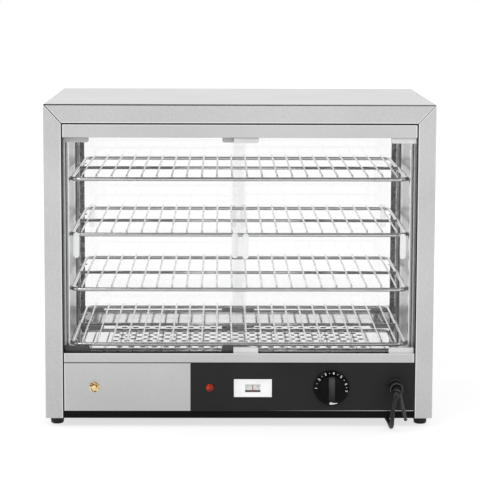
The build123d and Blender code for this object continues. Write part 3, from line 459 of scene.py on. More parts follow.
def panel_steel(name, colour):
    """Satin steel of the lower front panel, with painted highlights at its ends, a painted shade
    line under the fascia, and the lip below that painted from shade at the left to a highlight at
    the right.
    """
    made, tree, shader = material(name, metallic=1.0, rough=0.3)
    fascia_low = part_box("control_fascia")[0]
    x, _, z = position(tree)
    at_fascia = above(tree, x, fascia_low.x)
    under = below(tree, z, fascia_low.z + FASCIA_SHADE)
    lip = between(tree, z, 0, fascia_low.z - LIP_LINE)
    tone = rolled_tone(tree, colour)
    # Painted highlights on the ends, a painted shade line under the fascia, and the lip painted
    # from shade to a highlight
    for zone, paint in (
        (above(tree, away_from(tree, x), TRIM_EDGE), TRIM_HIGHLIGHT_TONE),
        (all_of(tree, under, at_fascia), SHADE_TONE),
        (all_of(tree, lip, at_fascia), tinted(tree, x, LIP_SHADE_TONE, LIP_HIGHLIGHT_TONE, *LIP_SPAN)),
    ):
        tone = painted(tree, tone, zone, paint)
    tree.links.new(tone, shader.inputs["Base Color"])
    return made


def lit_above_shaded_below(name, lower, upper, level, blur, shine=0.5):
    """Moulded plastic with one tone painted below a height as shade and a lighter, lit tone painted
    above it.
    """
    made, tree, shader = material(name, shine=shine)
    z = position(tree)[2]
    tone = tinted(tree, z, lower, upper, level - blur, level + blur)
    skin = noise(tree, 1500.0)
    tree.links.new(tone, shader.inputs["Base Color"])
    tree.links.new(spread(tree, skin, 0.2, 0.35, 0.3, 0.7), shader.inputs["Roughness"])
    return made


def side_steel(name, colour):
    """Side walls: a painted lit zone, painted shade beside the uprights and painted mottled shade
    beyond them, and painted highlight and shade lines on the jambs.
    """
    made, tree, shader = material(name, shine=0.0, rough=0.3)
    low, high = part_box("inner_side_left")
    x, y, _ = position(tree)
    outwards = away_from(tree, x)
    endwards = away_from(tree, y, (low.y + high.y) / 2)
    outside = above(tree, endwards, JAMB_OUTSIDE)
    mottle = noise(tree, 75.0, detail=4.0, roughness=0.7)
    mottled_shade = tinted(tree, mottle, grey(0.04), grey(0.40), 0.45, 0.62)
    shade = between(tree, endwards, *WALL_SHADE)
    jamb_shade_line = all_of(tree, outside, between(tree, outwards, *JAMB_SHADE_LINE))
    tone = rolled_tone(tree, colour)
    # Painted light and shade: a lit zone, shade beside the uprights, mottled shade beyond them, and
    # highlight and shade lines on the jambs
    for zone, paint in (
        (between(tree, endwards, *WALL_LIGHT), grey(0.80)),
        (shade, grey(0.01)),
        (between(tree, endwards, WALL_SHADE[1], JAMB_OUTSIDE), mottled_shade),
        (outside, grey(0.40)),
        (all_of(tree, outside, between(tree, outwards, *JAMB_LIGHT)), HIGHLIGHT_TONE),
        (jamb_shade_line, grey(0.01)),
        (all_of(tree, outside, below(tree, outwards, JAMB_HEM)), HIGHLIGHT_TONE),
    ):
        tone = painted(tree, tone, zone, paint)
    tree.links.new(tone, shader.inputs["Base Color"])
    # The painted shade zones are a black non-metal
    black = arithmetic(tree, "MAXIMUM", shade, jamb_shade_line)
    tree.links.new(arithmetic(tree, "SUBTRACT", 1.0, black), shader.inputs["Metallic"])
    return made


def bright(name, colour, rough, scale, waves):
    """Plated or polished metal with slight waves and smears."""
    made, tree, shader = material(name, metallic=1.0)
    smear = noise(tree, scale, detail=3.0)
    dim = tuple(part * 0.9 for part in colour)
    tree.links.new(tinted(tree, smear, dim, colour), shader.inputs["Base Color"])
    tree.links.new(spread(tree, smear, *rough, 0.3, 0.7), shader.inputs["Roughness"])
    bumped(tree, shader, smear, waves, 0.4)
    return made


def reflection_patches(name, dark, light, rough, metallic):
    """A small bright piece with painted dark and light patches that stand for what it mirrors:
    painted reflections, highlights and shade.
    """
    made, tree, shader = material(name, metallic=metallic, rough=rough)
    tone = tinted(tree, noise(tree, 190.0), dark, light, 0.4, 0.55)
    tree.links.new(tone, shader.inputs["Base Color"])
    return made


def dull(name, colour, rough=(0.4, 0.6), depth=0.00003, scale=1500.0, shine=0.5):
    """Painted metal, moulded plastic or rubber with a fine skin."""
    made, tree, shader = material(name, shine=shine)
    skin = noise(tree, scale)
    cloud = noise(tree, 14.0, detail=3.0)
    pale = tuple(part * 1.15 + 0.002 for part in colour)
    dim = tuple(part * 0.88 for part in colour)
    tree.links.new(tinted(tree, cloud, dim, pale), shader.inputs["Base Color"])
    tree.links.new(spread(tree, skin, *rough, 0.3, 0.7), shader.inputs["Roughness"])
    bumped(tree, shader, skin, depth, 0.5)
    return made


def clear(name, colour, rough=0.0, transmission=1.0):
    """Clear or frosted panes that let lamps and scattered light straight through them."""
    made, tree, shader = material(name, rough=rough, shine=0.25)
    shader.inputs["Base Color"].default_value = (*colour, 1)
    shader.inputs["IOR"].default_value = 1.5
    shader.inputs["Transmission Weight"].default_value = transmission
    path = node(tree, "ShaderNodeLightPath")
    through = node(tree, "ShaderNodeBsdfTransparent", color=(*colour, 1))
    mix = node(tree, "ShaderNodeMixShader")
    lights = path.outputs["Is Shadow Ray"]
    scattered = path.outputs["Is Diffuse Ray"]
    tree.links.new(arithmetic(tree, "MAXIMUM", lights, scattered), mix.inputs[0])
    tree.links.new(shader.outputs[0], mix.inputs[1])
    tree.links.new(through.outputs[0], mix.inputs[2])
    tree.links.new(mix.outputs[0], tree.nodes["Material Output"].inputs["Surface"])
    return made


# Geometry helpers

def circle(bm, centre, radius, side, other, steps):
    """Vertices round a centre, in the plane of two directions."""
    ring = []
    for step in range(steps):
        angle = 2 * math.pi * step / steps
        ring.append(bm.verts.new(
            centre + radius * (math.cos(angle) * side + math.sin(angle) * other)))
    return ring


def tube(bm, points, radius, sides=12, closed=False):
    """A round bar along points, with flat ends unless it is closed on itself."""
    points = [Vector(point) for point in points]
    count = len(points)
    rings = []
    side = None
    for number, point in enumerate(points):
        before = points[number - 1] if number or closed else point
        after = points[(number + 1) % count] if number < count - 1 or closed else point
        heading = (after - before).normalized()
        if side is None:
            side = heading.orthogonal().normalized()
        side = (side - heading * side.dot(heading)).normalized()
        rings.append(circle(bm, point, radius, side, heading.cross(side), sides))
    pairs = list(zip(rings, rings[1:]))
    if closed:
        pairs.append((rings[-1], rings[0]))
    for first, second in pairs:
        shift = 0
        if closed and second is rings[0]:
            shift = min(range(sides), key=lambda turn: (first[0].co - second[turn].co).length)
        for step in range(sides):
            following = (step + 1) % sides
            bm.faces.new((first[step], first[following],
                          second[(following + shift) % sides], second[(step + shift) % sides]))
    if not closed:
        bm.faces.new(rings[0][::-1])
        bm.faces.new(rings[-1])


def rounded_loop(half_x, low_y, high_y, corner, level, steps=6):
    """Points round a rectangle with rounded corners, at one level."""
    points = []
    corners = ((half_x, high_y, 0), (-half_x, high_y, 90), (-half_x, low_y, 180),
               (half_x, low_y, 270))
    for x, y, start in corners:
        centre_x = x - math.copysign(corner, x)
        centre_y = y - corner if y == high_y else y + corner
        for step in range(steps + 1):
            angle = math.radians(start + 90 * step / steps)
            points.append((centre_x + corner * math.cos(angle),
                           centre_y + corner * math.sin(angle), level))
    return points


def arc_points(centre, radius, start, end, steps):
    """Points on an arc in the Y-Z plane at a fixed x."""
    points = []
    for step in range(steps + 1):
        angle = math.radians(start + (end - start) * step / steps)
        points.append((centre[0], centre[1] + radius * math.cos(angle),
                       centre[2] + radius * math.sin(angle)))
    return points


def slab(bm, low, high):
    """A box between two corners."""
    for vert in bmesh.ops.create_cube(bm, size=1.0)["verts"]:
        vert.co = Vector(low[axis] if vert.co[axis] < 0 else high[axis] for axis in range(3))


def lettering(bm, characters, size, matrix):
    """Raised characters added to a mesh, centred on a matrix's origin in its X-Y plane."""
    data = bpy.data.curves.new("characters", "FONT")
    data.body = characters
    data.size = size
    data.align_x = "CENTER"
    data.align_y = "CENTER"
    data.extrude = PRINT / 2
    data.offset = size * 0.012
    data.resolution_u = 3
    obj = placed("characters", data)
    mesh = bpy.data.meshes.new_from_object(obj)
    bpy.data.objects.remove(obj)
    mesh.transform(matrix)
    bm.from_mesh(mesh)
    bpy.data.meshes.remove(mesh)


def front_matrix(x, y, z):
    """Matrix of a plane that faces the front, with its X to the right."""
    return Matrix.Translation((x, y, z)) @ Matrix.Rotation(math.radians(90), 4, "X")


def lathe(bm, profile, origin, steps=48, axis=(0, -1, 0)):
    """A turned shape: (radius, distance out) points about an axis through the origin."""
    axis = Vector(axis).normalized()
    side = axis.orthogonal().normalized()
    other = axis.cross(side)
    origin = Vector(origin)
    rings = []
    for radius, out in profile:
        if radius < 1e-7:
            rings.append([bm.verts.new(origin + axis * out)])
            continue
        rings.append(circle(bm, origin + axis * out, radius, side, other, steps))
    for first, second in zip(rings, rings[1:]):
        for step in range(steps):
            following = (step + 1) % steps
            if len(first) == 1 and len(second) == 1:
                continue
            if len(first) == 1:
                bm.faces.new((first[0], second[step], second[following]))
            elif len(second) == 1:
                bm.faces.new((first[step], second[0], first[following]))
            else:
                bm.faces.new((first[step], second[step], second[following], first[following]))


def crisp(obj, degrees):
    """Edges sharper than an angle stay crisp between smooth faces."""
    split = obj.modifiers.new("edges", "EDGE_SPLIT")
    split.split_angle = math.radians(degrees)


# Camera and stage

def camera():
    """The camera at the photograph's viewing angle."""
    data = bpy.data.cameras.new("camera")
    data.sensor_width = SENSOR
    data.lens = CAMERA_FOCUS / FRAME_PIXELS * SENSOR
    data.shift_y = CAMERA_SHIFT
    data.clip_end = 100
    obj = placed("camera", data)
    turn = (
        Matrix.Rotation(CAMERA_YAW, 4, "Z")
        @ Matrix.Rotation(CAMERA_PITCH, 4, "X")
        @ Matrix.Rotation(CAMERA_ROLL, 4, "Y")
    )
    look_forward = Matrix.Rotation(math.radians(90), 4, "X")
    obj.matrix_world = Matrix.Translation(CAMERA_AT) @ turn @ look_forward
    bpy.context.scene.camera = obj


def lamp(name, at, power):
    """A soft square lamp aimed at the object."""
    data = bpy.data.lights.new(name, "AREA")
    data.size = LAMP_SIZE
    data.energy = power
    obj = placed(name, data)
    obj.location = at
    obj.rotation_euler = (Vector(LAMP_AIM) - Vector(at)).to_track_quat("-Z", "Y").to_euler()


def seen_or_mirrored(tree):
    """1 for rays from the camera and for those mirrored or let through."""
    path = node(tree, "ShaderNodeLightPath")
    some = arithmetic(tree, "MAXIMUM", path.outputs["Is Camera Ray"], path.outputs["Is Glossy Ray"])
    return arithmetic(tree, "MAXIMUM", some, path.outputs["Is Transmission Ray"])


def surroundings():
    """White all round, with a dark studio above and behind the camera for what mirrors it."""
    world = bpy.data.worlds.new("studio")
    bpy.context.scene.world = world
    world.use_nodes = True
    tree = world.node_tree
    background = tree.nodes["Background"]
    _, forward, up = position(tree, "Generated")
    mirrored = node(tree, "ShaderNodeLightPath").outputs["Is Glossy Ray"]
    dark = all_of(
        tree,
        spread(tree, forward, 1, 0, *STUDIO_SIDE),
        spread(tree, up, 0, 1, *STUDIO_EDGE),
        spread(tree, up, 1, 0, *STUDIO_TOP),
        mirrored,
    )
    level = arithmetic(tree, "SUBTRACT", 1.0, arithmetic(tree, "MULTIPLY", dark, STUDIO_DARK))
    overhead = all_of(tree, spread(tree, up, 0, OVERHEAD, *STUDIO_TOP), mirrored)
    level = arithmetic(tree, "ADD", level, overhead)
    strength = mixed(tree, seen_or_mirrored(tree), WORLD_LIGHT, level)
    tree.links.new(strength, background.inputs["Strength"])
    background.inputs["Color"].default_value = (1, 1, 1, 1)


def pale_floor():
    """A wide white floor that keeps a soft shadow, with a painted shadow near the object that only
    mirrors see.
    """
    made, tree, shader = material("floor_paper", rough=0.9, shine=0.0)
    shader.inputs["Base Color"].default_value = (0.82, 0.82, 0.82, 1)
    diffuse = node(tree, "ShaderNodeBsdfDiffuse", color=(0.36, 0.36, 0.36, 1))
    place = node(tree, "ShaderNodeTexCoord")
    away = node(tree, "ShaderNodeVectorMath", operation="LENGTH")
    tree.links.new(place.outputs["Object"], away.inputs[0])
    y = position(tree)[1]
    level = arithmetic(tree, "ADD", spread(tree, y, 0, FLOOR_BEHIND, *FLOOR_BACK), FLOOR_GLOW)
    # Painted shadow near the object in front, for mirrored rays only
    mirrored_shadow = all_of(
        tree,
        spread(tree, away.outputs["Value"], MIRRORED_SHADOW_DEPTH, 0.0, *FLOOR_NEAR),
        spread(tree, y, 1, 0, *FLOOR_FRONT),
        node(tree, "ShaderNodeLightPath").outputs["Is Glossy Ray"],
    )
    glow = node(tree, "ShaderNodeEmission")
    tree.links.new(arithmetic(tree, "SUBTRACT", level, mirrored_shadow), glow.inputs["Strength"])
    both = node(tree, "ShaderNodeAddShader")
    tree.links.new(diffuse.outputs[0], both.inputs[0])
    tree.links.new(glow.outputs[0], both.inputs[1])
    mix = node(tree, "ShaderNodeMixShader")
    tree.links.new(seen_or_mirrored(tree), mix.inputs[0])
    tree.links.new(shader.outputs[0], mix.inputs[1])
    tree.links.new(both.outputs[0], mix.inputs[2])
    tree.links.new(mix.outputs[0], tree.nodes["Material Output"].inputs["Surface"])
    bm = bmesh.new()
    corners = ((-1, -1), (1, -1), (1, 1), (-1, 1))
    bm.faces.new([bm.verts.new((x * FLOOR_REACH, y * FLOOR_REACH, 0)) for x, y in corners])
    floor = finished("floor", bm, made, smooth=False)


# Cord

def coil_points():
    """Points of the coil: three turns inwards on the floor, then outwards on top of them."""
    low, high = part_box("cord_coil")
    centre = (low + high) / 2
    step = 360.0 / TURN_POINTS
    swell = 1 / (0.75 + 0.25 * math.cos(math.radians(step)))
    columns = COIL_COLUMNS + COIL_COLUMNS[::-1]
    last = COIL_TURNS * TURN_POINTS + round((COIL_END - COIL_START) / step)
    inner = len(COIL_COLUMNS)
    points = []
    for number in range(last + 1):
        turn, within = divmod(number, TURN_POINTS)
        share = max(0.0, (within - (TURN_POINTS - CROSSOVER_POINTS)) / CROSSOVER_POINTS)
        following = min(turn + 1, len(columns) - 1)
        radius = columns[turn] + (columns[following] - columns[turn]) * share
        height = [COIL_LAYERS[0 if index < inner else 1] for index in (turn, following)]
        angle = math.radians(COIL_START + number * step)
        points.append((
            centre.x + radius * swell * math.cos(angle),
            centre.y + radius * swell * math.sin(angle),
            height[0] + (height[1] - height[0]) * share,
        ))
    return points


def power_cord(rubber):
    """The mains cord, one smooth curve from the boot through the coil to the plug."""
    plug_low, plug_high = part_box("cord_plug")
    end = Vector((plug_high.x, (plug_low.y + plug_high.y) / 2, PLUG_AXIS))
    lead_out = [tuple(end + Vector(step) * MM) for step in LEAD_OUT]
    points = CORD_ROUTE + coil_points() + lead_out
    data = bpy.data.curves.new("power_cord", "CURVE")
    data.dimensions = "3D"
    data.bevel_depth = CORD / 2
    data.bevel_resolution = 4
    data.use_fill_caps = True
    spline = data.splines.new("NURBS")
    spline.points.add(len(points) - 1)
    for place, point in zip(spline.points, points):
        place.co = (*point, 1)
    spline.order_u = 3
    spline.use_endpoint_u = True
    spline.resolution_u = 6
    data.materials.append(rubber)
    cord = placed("power_cord", data)
    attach(cord, "cabinet")
    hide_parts("mains_cord", "cord_coil")
    return cord


# Shelves and floor

def wire_shelf(number, rail_metal, wire_metal):
    """Rail frame, middle rail and cross wires that turn down behind the front rail."""
    low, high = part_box(f"shelf_{number}")
    level = low.z + RAIL / 2
    half_x = high.x - RAIL / 2
    wrap_low, wrap_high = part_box("outer_wrap")
    middle_y = (wrap_low.y + wrap_high.y) / 2
    front_y = middle_y - SHELF_HALF_DEPTH
    rear_y = middle_y + SHELF_HALF_DEPTH
    bm = bmesh.new()
    loop = rounded_loop(half_x, front_y, rear_y, SHELF_CORNER, level)
    tube(bm, loop, RAIL / 2, sides=20, closed=True)
    middle_z = level + (RAIL - MIDDLE_RAIL) / 2
    middle_rail = [(-half_x, middle_y, middle_z), (half_x, middle_y, middle_z)]
    tube(bm, middle_rail, MIDDLE_RAIL / 2, sides=20)
    rail_faces = len(bm.faces)
    top = level + RAIL / 2 + WIRE / 2
    behind = front_y + RAIL / 2 + WIRE / 2
    for index in range(WIRE_COUNT):
        x = (index - (WIRE_COUNT - 1) / 2) * WIRE_PITCH
        bend = arc_points((x, behind + WIRE_BEND, top - WIRE_BEND), WIRE_BEND, 180, 90, 5)
        points = [(x, behind, level - RAIL / 2)] + bend + [(x, rear_y + RAIL / 2, top)]
        tube(bm, points, WIRE / 2)
    bm.faces.ensure_lookup_table()
    for face in bm.faces[rail_faces:]:
        face.material_index = 1
    shelf = finished(f"wire_shelf_{number}", bm, rail_metal, wire_metal)
    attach(shelf, f"wire_shelf_{number}")
    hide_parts(f"shelf_{number}")


def round_hole_floor(polished, hole_walls):
    """The perforated floor with its staggered round holes and turned-down edges."""
    low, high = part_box("perforated_floor")
    bm = bmesh.new()
    corners = [(low.x, low.y), (high.x, low.y), (high.x, high.y), (low.x, high.y)]
    rim = [bm.verts.new((x, y, high.z)) for x, y in corners]
    edges = [bm.edges.new((rim[index], rim[(index + 1) % 4])) for index in range(4)]
    row_step = HOLE_PITCH * math.sqrt(3) / 2
    middle_y = (low.y + high.y) / 2
    across, along = Vector((1, 0, 0)), Vector((0, 1, 0))
    for row in range(HOLE_ROWS):
        y = middle_y + (row - (HOLE_ROWS - 1) / 2) * row_step
        shift = HOLE_PITCH / 4 if row % 2 else -HOLE_PITCH / 4
        for index in range(HOLES_IN_ROW):
            x = (index - (HOLES_IN_ROW - 1) / 2) * HOLE_PITCH + shift
            centre = Vector((x, y, high.z))
            ring = circle(bm, centre, HOLE / 2, across, along, HOLE_SIDES)
            edges += [bm.edges.new(pair) for pair in zip(ring, ring[1:] + ring[:1])]
    bmesh.ops.triangle_fill(bm, edges=edges, use_beauty=True, use_dissolve=False)
    outer = [edge for edge in bm.edges
             if edge.is_boundary and all(vert in rim for vert in edge.verts)]
    skirt = bmesh.ops.extrude_edge_only(bm, edges=outer)["geom"]
    for vert in (item for item in skirt if isinstance(item, bmesh.types.BMVert)):
        vert.co.z = low.z
    plate = finished("round_hole_floor", bm, polished, hole_walls, smooth=False)
    thicken = plate.modifiers.new("sheet", "SOLIDIFY")
    thicken.thickness = FLOOR_SHEET
    thicken.offset = -1
    thicken.material_offset_rim = 1
    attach(plate, "cabinet")
    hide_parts("perforated_floor")


# Trim

def shade_and_joint_strips(name, outward, black):
    """Black strips of painted shade in the gap round the inner trim, and a dark strip in the joint
    under the sill.
    """
    wrap_low, wrap_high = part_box("outer_wrap")
    trim_y = wrap_low.y + TRIM_SET_BACK if outward < 0 else wrap_high.y - TRIM_SET_BACK
    y = sorted((trim_y + outward * STRIP_PROUD, trim_y - outward * STRIP_SKIN))
    outer_x = wrap_high.x - SIDE_RETURN
    trim_x = outer_x - TRIM_GAP
    top = wrap_high.z - TOP_RETURN
    bm = bmesh.new()
    for side in (-1, 1):
        x = sorted((side * (trim_x + STRIP_CLEAR), side * (outer_x + STRIP_LAP)))
        slab(bm, (x[0], y[0], wrap_low.z + STRIP_FOOT), (x[1], y[1], top))
    for bottom, upper in (
        (top - TRIM_GAP + STRIP_CLEAR, top + STRIP_LAP),
        (PANEL_TOP - JOINT_LINE / 2, PANEL_TOP + JOINT_LINE / 2),
    ):
        slab(bm, (-trim_x, y[0], bottom), (trim_x, y[1], upper))
    seal = finished(name, bm, black, smooth=False)
    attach(seal, "cabinet")


# Doors

def finger_pulls(glass_node, body, outward, finish):
    """Frosted lining of the two hollows ground into a pane."""
    low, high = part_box(glass_node)
    face_y = low.y if outward < 0 else high.y
    half_straight = (PULL_HEIGHT - PULL_WIDTH) / 2
    bm = bmesh.new()
    for middle_x in (low.x + PULL_INSET + PULL_WIDTH / 2, high.x - PULL_INSET - PULL_WIDTH / 2):
        rings = []
        for inset, depth in (
            (PULL_CLEAR, PULL_PROUD),
            (PULL_CLEAR, PULL_DEPTH - PULL_PROUD),
            (PULL_SKIN, PULL_DEPTH - PULL_SKIN),
            (PULL_SKIN, PULL_PROUD),
        ):
            radius = PULL_WIDTH / 2 - inset
            ring = []
            for end in (1, -1):
                for step in range(PULL_STEPS + 1):
                    angle = math.pi * step / PULL_STEPS + (0 if end > 0 else math.pi)
                    ring.append(bm.verts.new((
                        middle_x + radius * math.cos(angle),
                        face_y - outward * depth,
                        PULL_MIDDLE + end * half_straight + radius * math.sin(angle),
                    )))
            rings.append(ring)
        count = len(rings[0])
        for first, second in ((rings[0], rings[1]), (rings[2], rings[3]), (rings[3], rings[0])):
            for step in range(count):
                following = (step + 1) % count
                bm.faces.new((first[step], first[following], second[following], second[step]))
        bm.faces.new(rings[1])
        bm.faces.new(rings[2])
    pulls = finished(f"finger_pulls_{body}", bm, finish, smooth=False)
    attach(pulls, body)


# Controls

def dial_knob(plastic, grip):
    """Turned skirt and cap with a rounded grip bar across them."""
    low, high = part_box("knob")
    middle = Vector(((low.x + high.x) / 2, high.y + KNOB_GAP, (low.z + high.z) / 2))
    bm = bmesh.new()
    profile = [
        (0, KNOB_GAP),
        (KNOB_SKIRT - 0.8 * MM, KNOB_GAP),
        (KNOB_SKIRT - 0.2 * MM, KNOB_GAP + 0.3 * MM),
        (KNOB_SKIRT, KNOB_GAP + 0.9 * MM),
        (KNOB_SKIRT, KNOB_SKIRT_EDGE - 0.4 * MM),
        (KNOB_SKIRT - 0.25 * MM, KNOB_SKIRT_EDGE + 0.3 * MM),
        (KNOB_SLOPE_OUT, KNOB_SLOPE_LOW),
        (KNOB_SLOPE_IN, KNOB_SLOPE_HIGH),
        (KNOB_CAP + 0.3 * MM, KNOB_SLOPE_HIGH + 0.3 * MM),
        (KNOB_CAP, KNOB_SLOPE_HIGH + 0.9 * MM),
        (KNOB_CAP - 0.2 * MM, KNOB_FACE - 1.0 * MM),
        (KNOB_CAP - 0.5 * MM, KNOB_FACE - 0.4 * MM),
        (KNOB_CAP - 1.2 * MM, KNOB_FACE),
        (0, KNOB_FACE),
    ]
    lathe(bm, profile, middle, steps=96)
    turned_faces = len(bm.faces)
    half_long = KNOB_CAP - KNOB_GAP
    levels = [(0.0, KNOB_FACE - 0.5 * MM), (0.2 * MM, KNOB_TOP - 3 * KNOB_ROUND),
              (0.35 * MM, KNOB_TOP - KNOB_ROUND), (0.75 * MM, KNOB_TOP - 0.35 * KNOB_ROUND),
              (1.5 * MM, KNOB_TOP)]
    rings = []
    for inset, out in levels:
        half = half_long - inset
        corners = rounded_loop(KNOB_GRIP - inset, -half, half, 2.0 * MM, 0, 5)
        rings.append([bm.verts.new(middle + Vector((x, -out, z))) for x, z, _ in corners])
    for first, second in zip(rings, rings[1:]):
        for step in range(len(first)):
            following = (step + 1) % len(first)
            bm.faces.new((first[step], first[following], second[following], second[step]))
    bm.faces.new(rings[0])
    bm.faces.new(rings[-1])
    bm.faces.ensure_lookup_table()
    for face in bm.faces[turned_faces:]:
        face.material_index = 1
    knob = finished("dial_knob", bm, plastic, grip)
    crisp(knob, 38)
    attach(knob, "dial_knob")
    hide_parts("knob")
    return middle


def knob_print(middle, white):
    """Plain numbers with dots between them, and a wedge at the foot."""
    bm = bmesh.new()
    fall = math.atan2(KNOB_SLOPE_HIGH - KNOB_SLOPE_LOW, KNOB_SLOPE_OUT - KNOB_SLOPE_IN)
    mid_radius = (KNOB_SLOPE_IN + KNOB_SLOPE_OUT) / 2
    mid_out = (KNOB_SLOPE_HIGH + KNOB_SLOPE_LOW) / 2

    def on_skirt(degrees, radius=mid_radius):
        """Matrix on the sloping skirt, with its Y axis pointing away from the knob's middle."""
        angle = math.radians(degrees)
        radial = Vector((math.cos(angle), 0, math.sin(angle)))
        out = Vector((0, -1, 0))
        normal = radial * math.sin(fall) + out * math.cos(fall)
        upward = radial * math.cos(fall) - out * math.sin(fall)
        across = upward.cross(normal)
        level = mid_out - (radius - mid_radius) * math.tan(fall)
        place = middle + radial * radius + out * level + normal * (PRINT * 0.3)
        turn = Matrix((across, upward, normal)).transposed().to_4x4()
        return Matrix.Translation(place) @ turn

    for character, degrees in KNOB_NUMBERS:
        lettering(bm, character, NUMERAL, on_skirt(degrees))
    for (_, first), (_, second) in zip(KNOB_NUMBERS, KNOB_NUMBERS[1:]):
        lettering(bm, "\u2022", DOT, on_skirt((first + second) / 2))
    start, end = KNOB_WEDGE
    pairs = []
    for step in range(WEDGE_STEPS + 1):
        share = step / WEDGE_STEPS
        degrees = start + (end - start) * share
        inner = WEDGE_THIN + WEDGE_TAPER * (1 - share)
        pairs.append([bm.verts.new(on_skirt(degrees, KNOB_SLOPE_OUT - inset).translation)
                      for inset in (inner, WEDGE_RIM)])
    for first, second in zip(pairs, pairs[1:]):
        bm.faces.new((first[0], second[0], second[1], first[1]))
    marks = finished("knob_numbers", bm, white, smooth=False)
    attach(marks, "dial_knob")


def gauge_print(ink):
    """Ticks, plain numbers and a dark band on the thermometer's card."""
    low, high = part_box("gauge_window")
    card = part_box("gauge_dial")[0].y
    middle_x = (low.x + high.x) / 2
    width = high.x - low.x
    front = card - INK_PROUD
    back = card + INK_SUNK
    foot = low.z + 3.2 * MM
    bm = bmesh.new()
    slab(bm, (low.x - 1 * MM, front, low.z - 2 * MM), (high.x + 1 * MM, back, low.z + 2 * MM))
    for index in range(GAUGE_TICKS):
        x = middle_x + (index / (GAUGE_TICKS - 1) - 0.5) * width * GAUGE_SPREAD
        top = foot + (TICK_TALL if index % 3 == 0 else TICK_SHORT)
        slab(bm, (x - TICK_WIDE / 2, front, foot), (x + TICK_WIDE / 2, back, top))
    for index, number in enumerate(("30", "60", "90")):
        x = middle_x + (index - 1) * width * GAUGE_SPREAD * 3 / 8
        place = front_matrix(x, card - INK_PROUD / 2, low.z + 8 * MM)
        lettering(bm, number, GAUGE_NUMERAL, place)
    printed = finished("gauge_scale", bm, ink, smooth=False)
    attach(printed, "cabinet")


def lamp_jewel(red):
    """Faceted lens of the heating light on its collar."""
    low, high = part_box("lamp_lens")
    middle = Vector(((low.x + high.x) / 2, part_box("control_fascia")[0].y, (low.z + high.z) / 2))
    radius = (high.x - low.x) / 2
    rise = middle.y - low.y
    bm = bmesh.new()
    collar = [(0, -0.5 * MM), (radius - 1 * MM, -0.5 * MM), (radius, 0), (radius, 0.35 * rise),
              (0.9 * radius, 0.42 * rise)]
    facets = [collar[-1], (0.72 * radius, 0.78 * rise), (0.36 * radius, 0.96 * rise), (0, rise)]
    lathe(bm, collar, middle, steps=40)
    lathe(bm, facets, middle, steps=9)
    jewel = finished("lamp_jewel", bm, red, smooth=False)
    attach(jewel, "cabinet")
    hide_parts("lamp_lens")


def threaded_stud(metal):
    """The bonding stud's free tip, with the ridges of its thread."""
    low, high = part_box("bond_stud")
    nut_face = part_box("bond_nuts")[0].y
    middle = Vector(((low.x + high.x) / 2, nut_face, (low.z + high.z) / 2))
    tip = nut_face - low.y
    end = nut_face - high.y
    bm = bmesh.new()
    profile = [(0, -STUD_INSIDE), (STUD_CORE, -STUD_INSIDE), (STUD_CORE, 0)]
    for index in range(int((tip - 1.0 * MM) / STUD_PITCH)):
        profile.append((STUD_CREST, (index + 0.5) * STUD_PITCH))
        profile.append((STUD_ROOT, (index + 1.0) * STUD_PITCH))
    profile += [(3.6 * MM, tip - 0.7 * MM), (2.9 * MM, tip), (0, tip)]
    lathe(bm, profile, middle, steps=40)
    profile = [(0, -STUD_INSIDE), (STUD_SHANK, -STUD_INSIDE), (STUD_SHANK, end), (0, end)]
    lathe(bm, profile, middle, steps=32)
    stud = finished("threaded_stud", bm, metal)
    crisp(stud, 30)
    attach(stud, "cabinet")
    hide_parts("bond_stud")


def panel_rivets(metal):
    """Domed blind rivets at the corners of the rear lower panel."""
    low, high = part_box("rear_lower_panel")
    bm = bmesh.new()
    profile = [(radius * MM, out * MM) for radius, out in RIVET]
    for x in (low.x + RIVET_INSET, high.x - RIVET_INSET):
        for z in (low.z + RIVET_ABOVE_FOOT, high.z - RIVET_INSET):
            lathe(bm, profile, (x, high.y, z), steps=28, axis=(0, 1, 0))
    rivets = finished("panel_rivets", bm, metal)
    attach(rivets, "cabinet")


def beaded_tie(plastic):
    """Tie round the boot: a ring, and a hanging end with the beads that lock it."""
    low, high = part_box("cord_tie")
    outer = TIE_RING + TIE_THICK
    ring = Vector((low.x + outer, high.y, high.z - outer))
    bm = bmesh.new()
    profile = [(TIE_RING, 0), (outer, 0), (outer, TIE_WIDE), (TIE_RING, TIE_WIDE), (TIE_RING, 0)]
    lathe(bm, profile, ring)
    top = ring + Vector(TIE_START) * MM
    middle = ring + Vector(TIE_BEND) * MM
    foot = ring + Vector((*TIE_STOP, 0)) * MM
    foot.z = low.z + 0.2 * MM
    beads = int((top - foot).length / TIE_BEAD)
    for index in range(beads + 1):
        share = index / beads
        place = top * (1 - share) ** 2 + middle * 2 * share * (1 - share) + foot * share ** 2
        if share < 0.5:
            corner = top.lerp(middle, share * 2)
        else:
            corner = middle.lerp(foot, share * 2 - 1)
        place = (place + corner) / 2
        bead = bmesh.ops.create_uvsphere(bm, u_segments=14, v_segments=8, radius=1.0)["verts"]
        for vert in bead:
            vert.co = place + vert.co * Vector(BEAD_SHAPE)
    tie = finished("beaded_tie", bm, plastic)
    crisp(tie, 50)
    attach(tie, "cabinet")
    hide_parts("cord_tie")
    return tie


# The scene

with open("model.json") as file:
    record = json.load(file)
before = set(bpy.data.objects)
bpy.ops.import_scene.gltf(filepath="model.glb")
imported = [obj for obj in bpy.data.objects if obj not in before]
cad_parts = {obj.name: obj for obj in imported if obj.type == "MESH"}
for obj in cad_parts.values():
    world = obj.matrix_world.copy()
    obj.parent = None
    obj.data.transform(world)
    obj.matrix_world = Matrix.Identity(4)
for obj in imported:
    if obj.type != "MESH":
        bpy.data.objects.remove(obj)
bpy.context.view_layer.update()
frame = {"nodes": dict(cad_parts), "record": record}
bpy.context.scene.view_settings.view_transform = "Standard"

camera()
surroundings()
pale_floor()
lamp("key", (-1.6, -2.0, 2.6), 32)
lamp("fill", (1.9, -1.6, 1.9), 16)

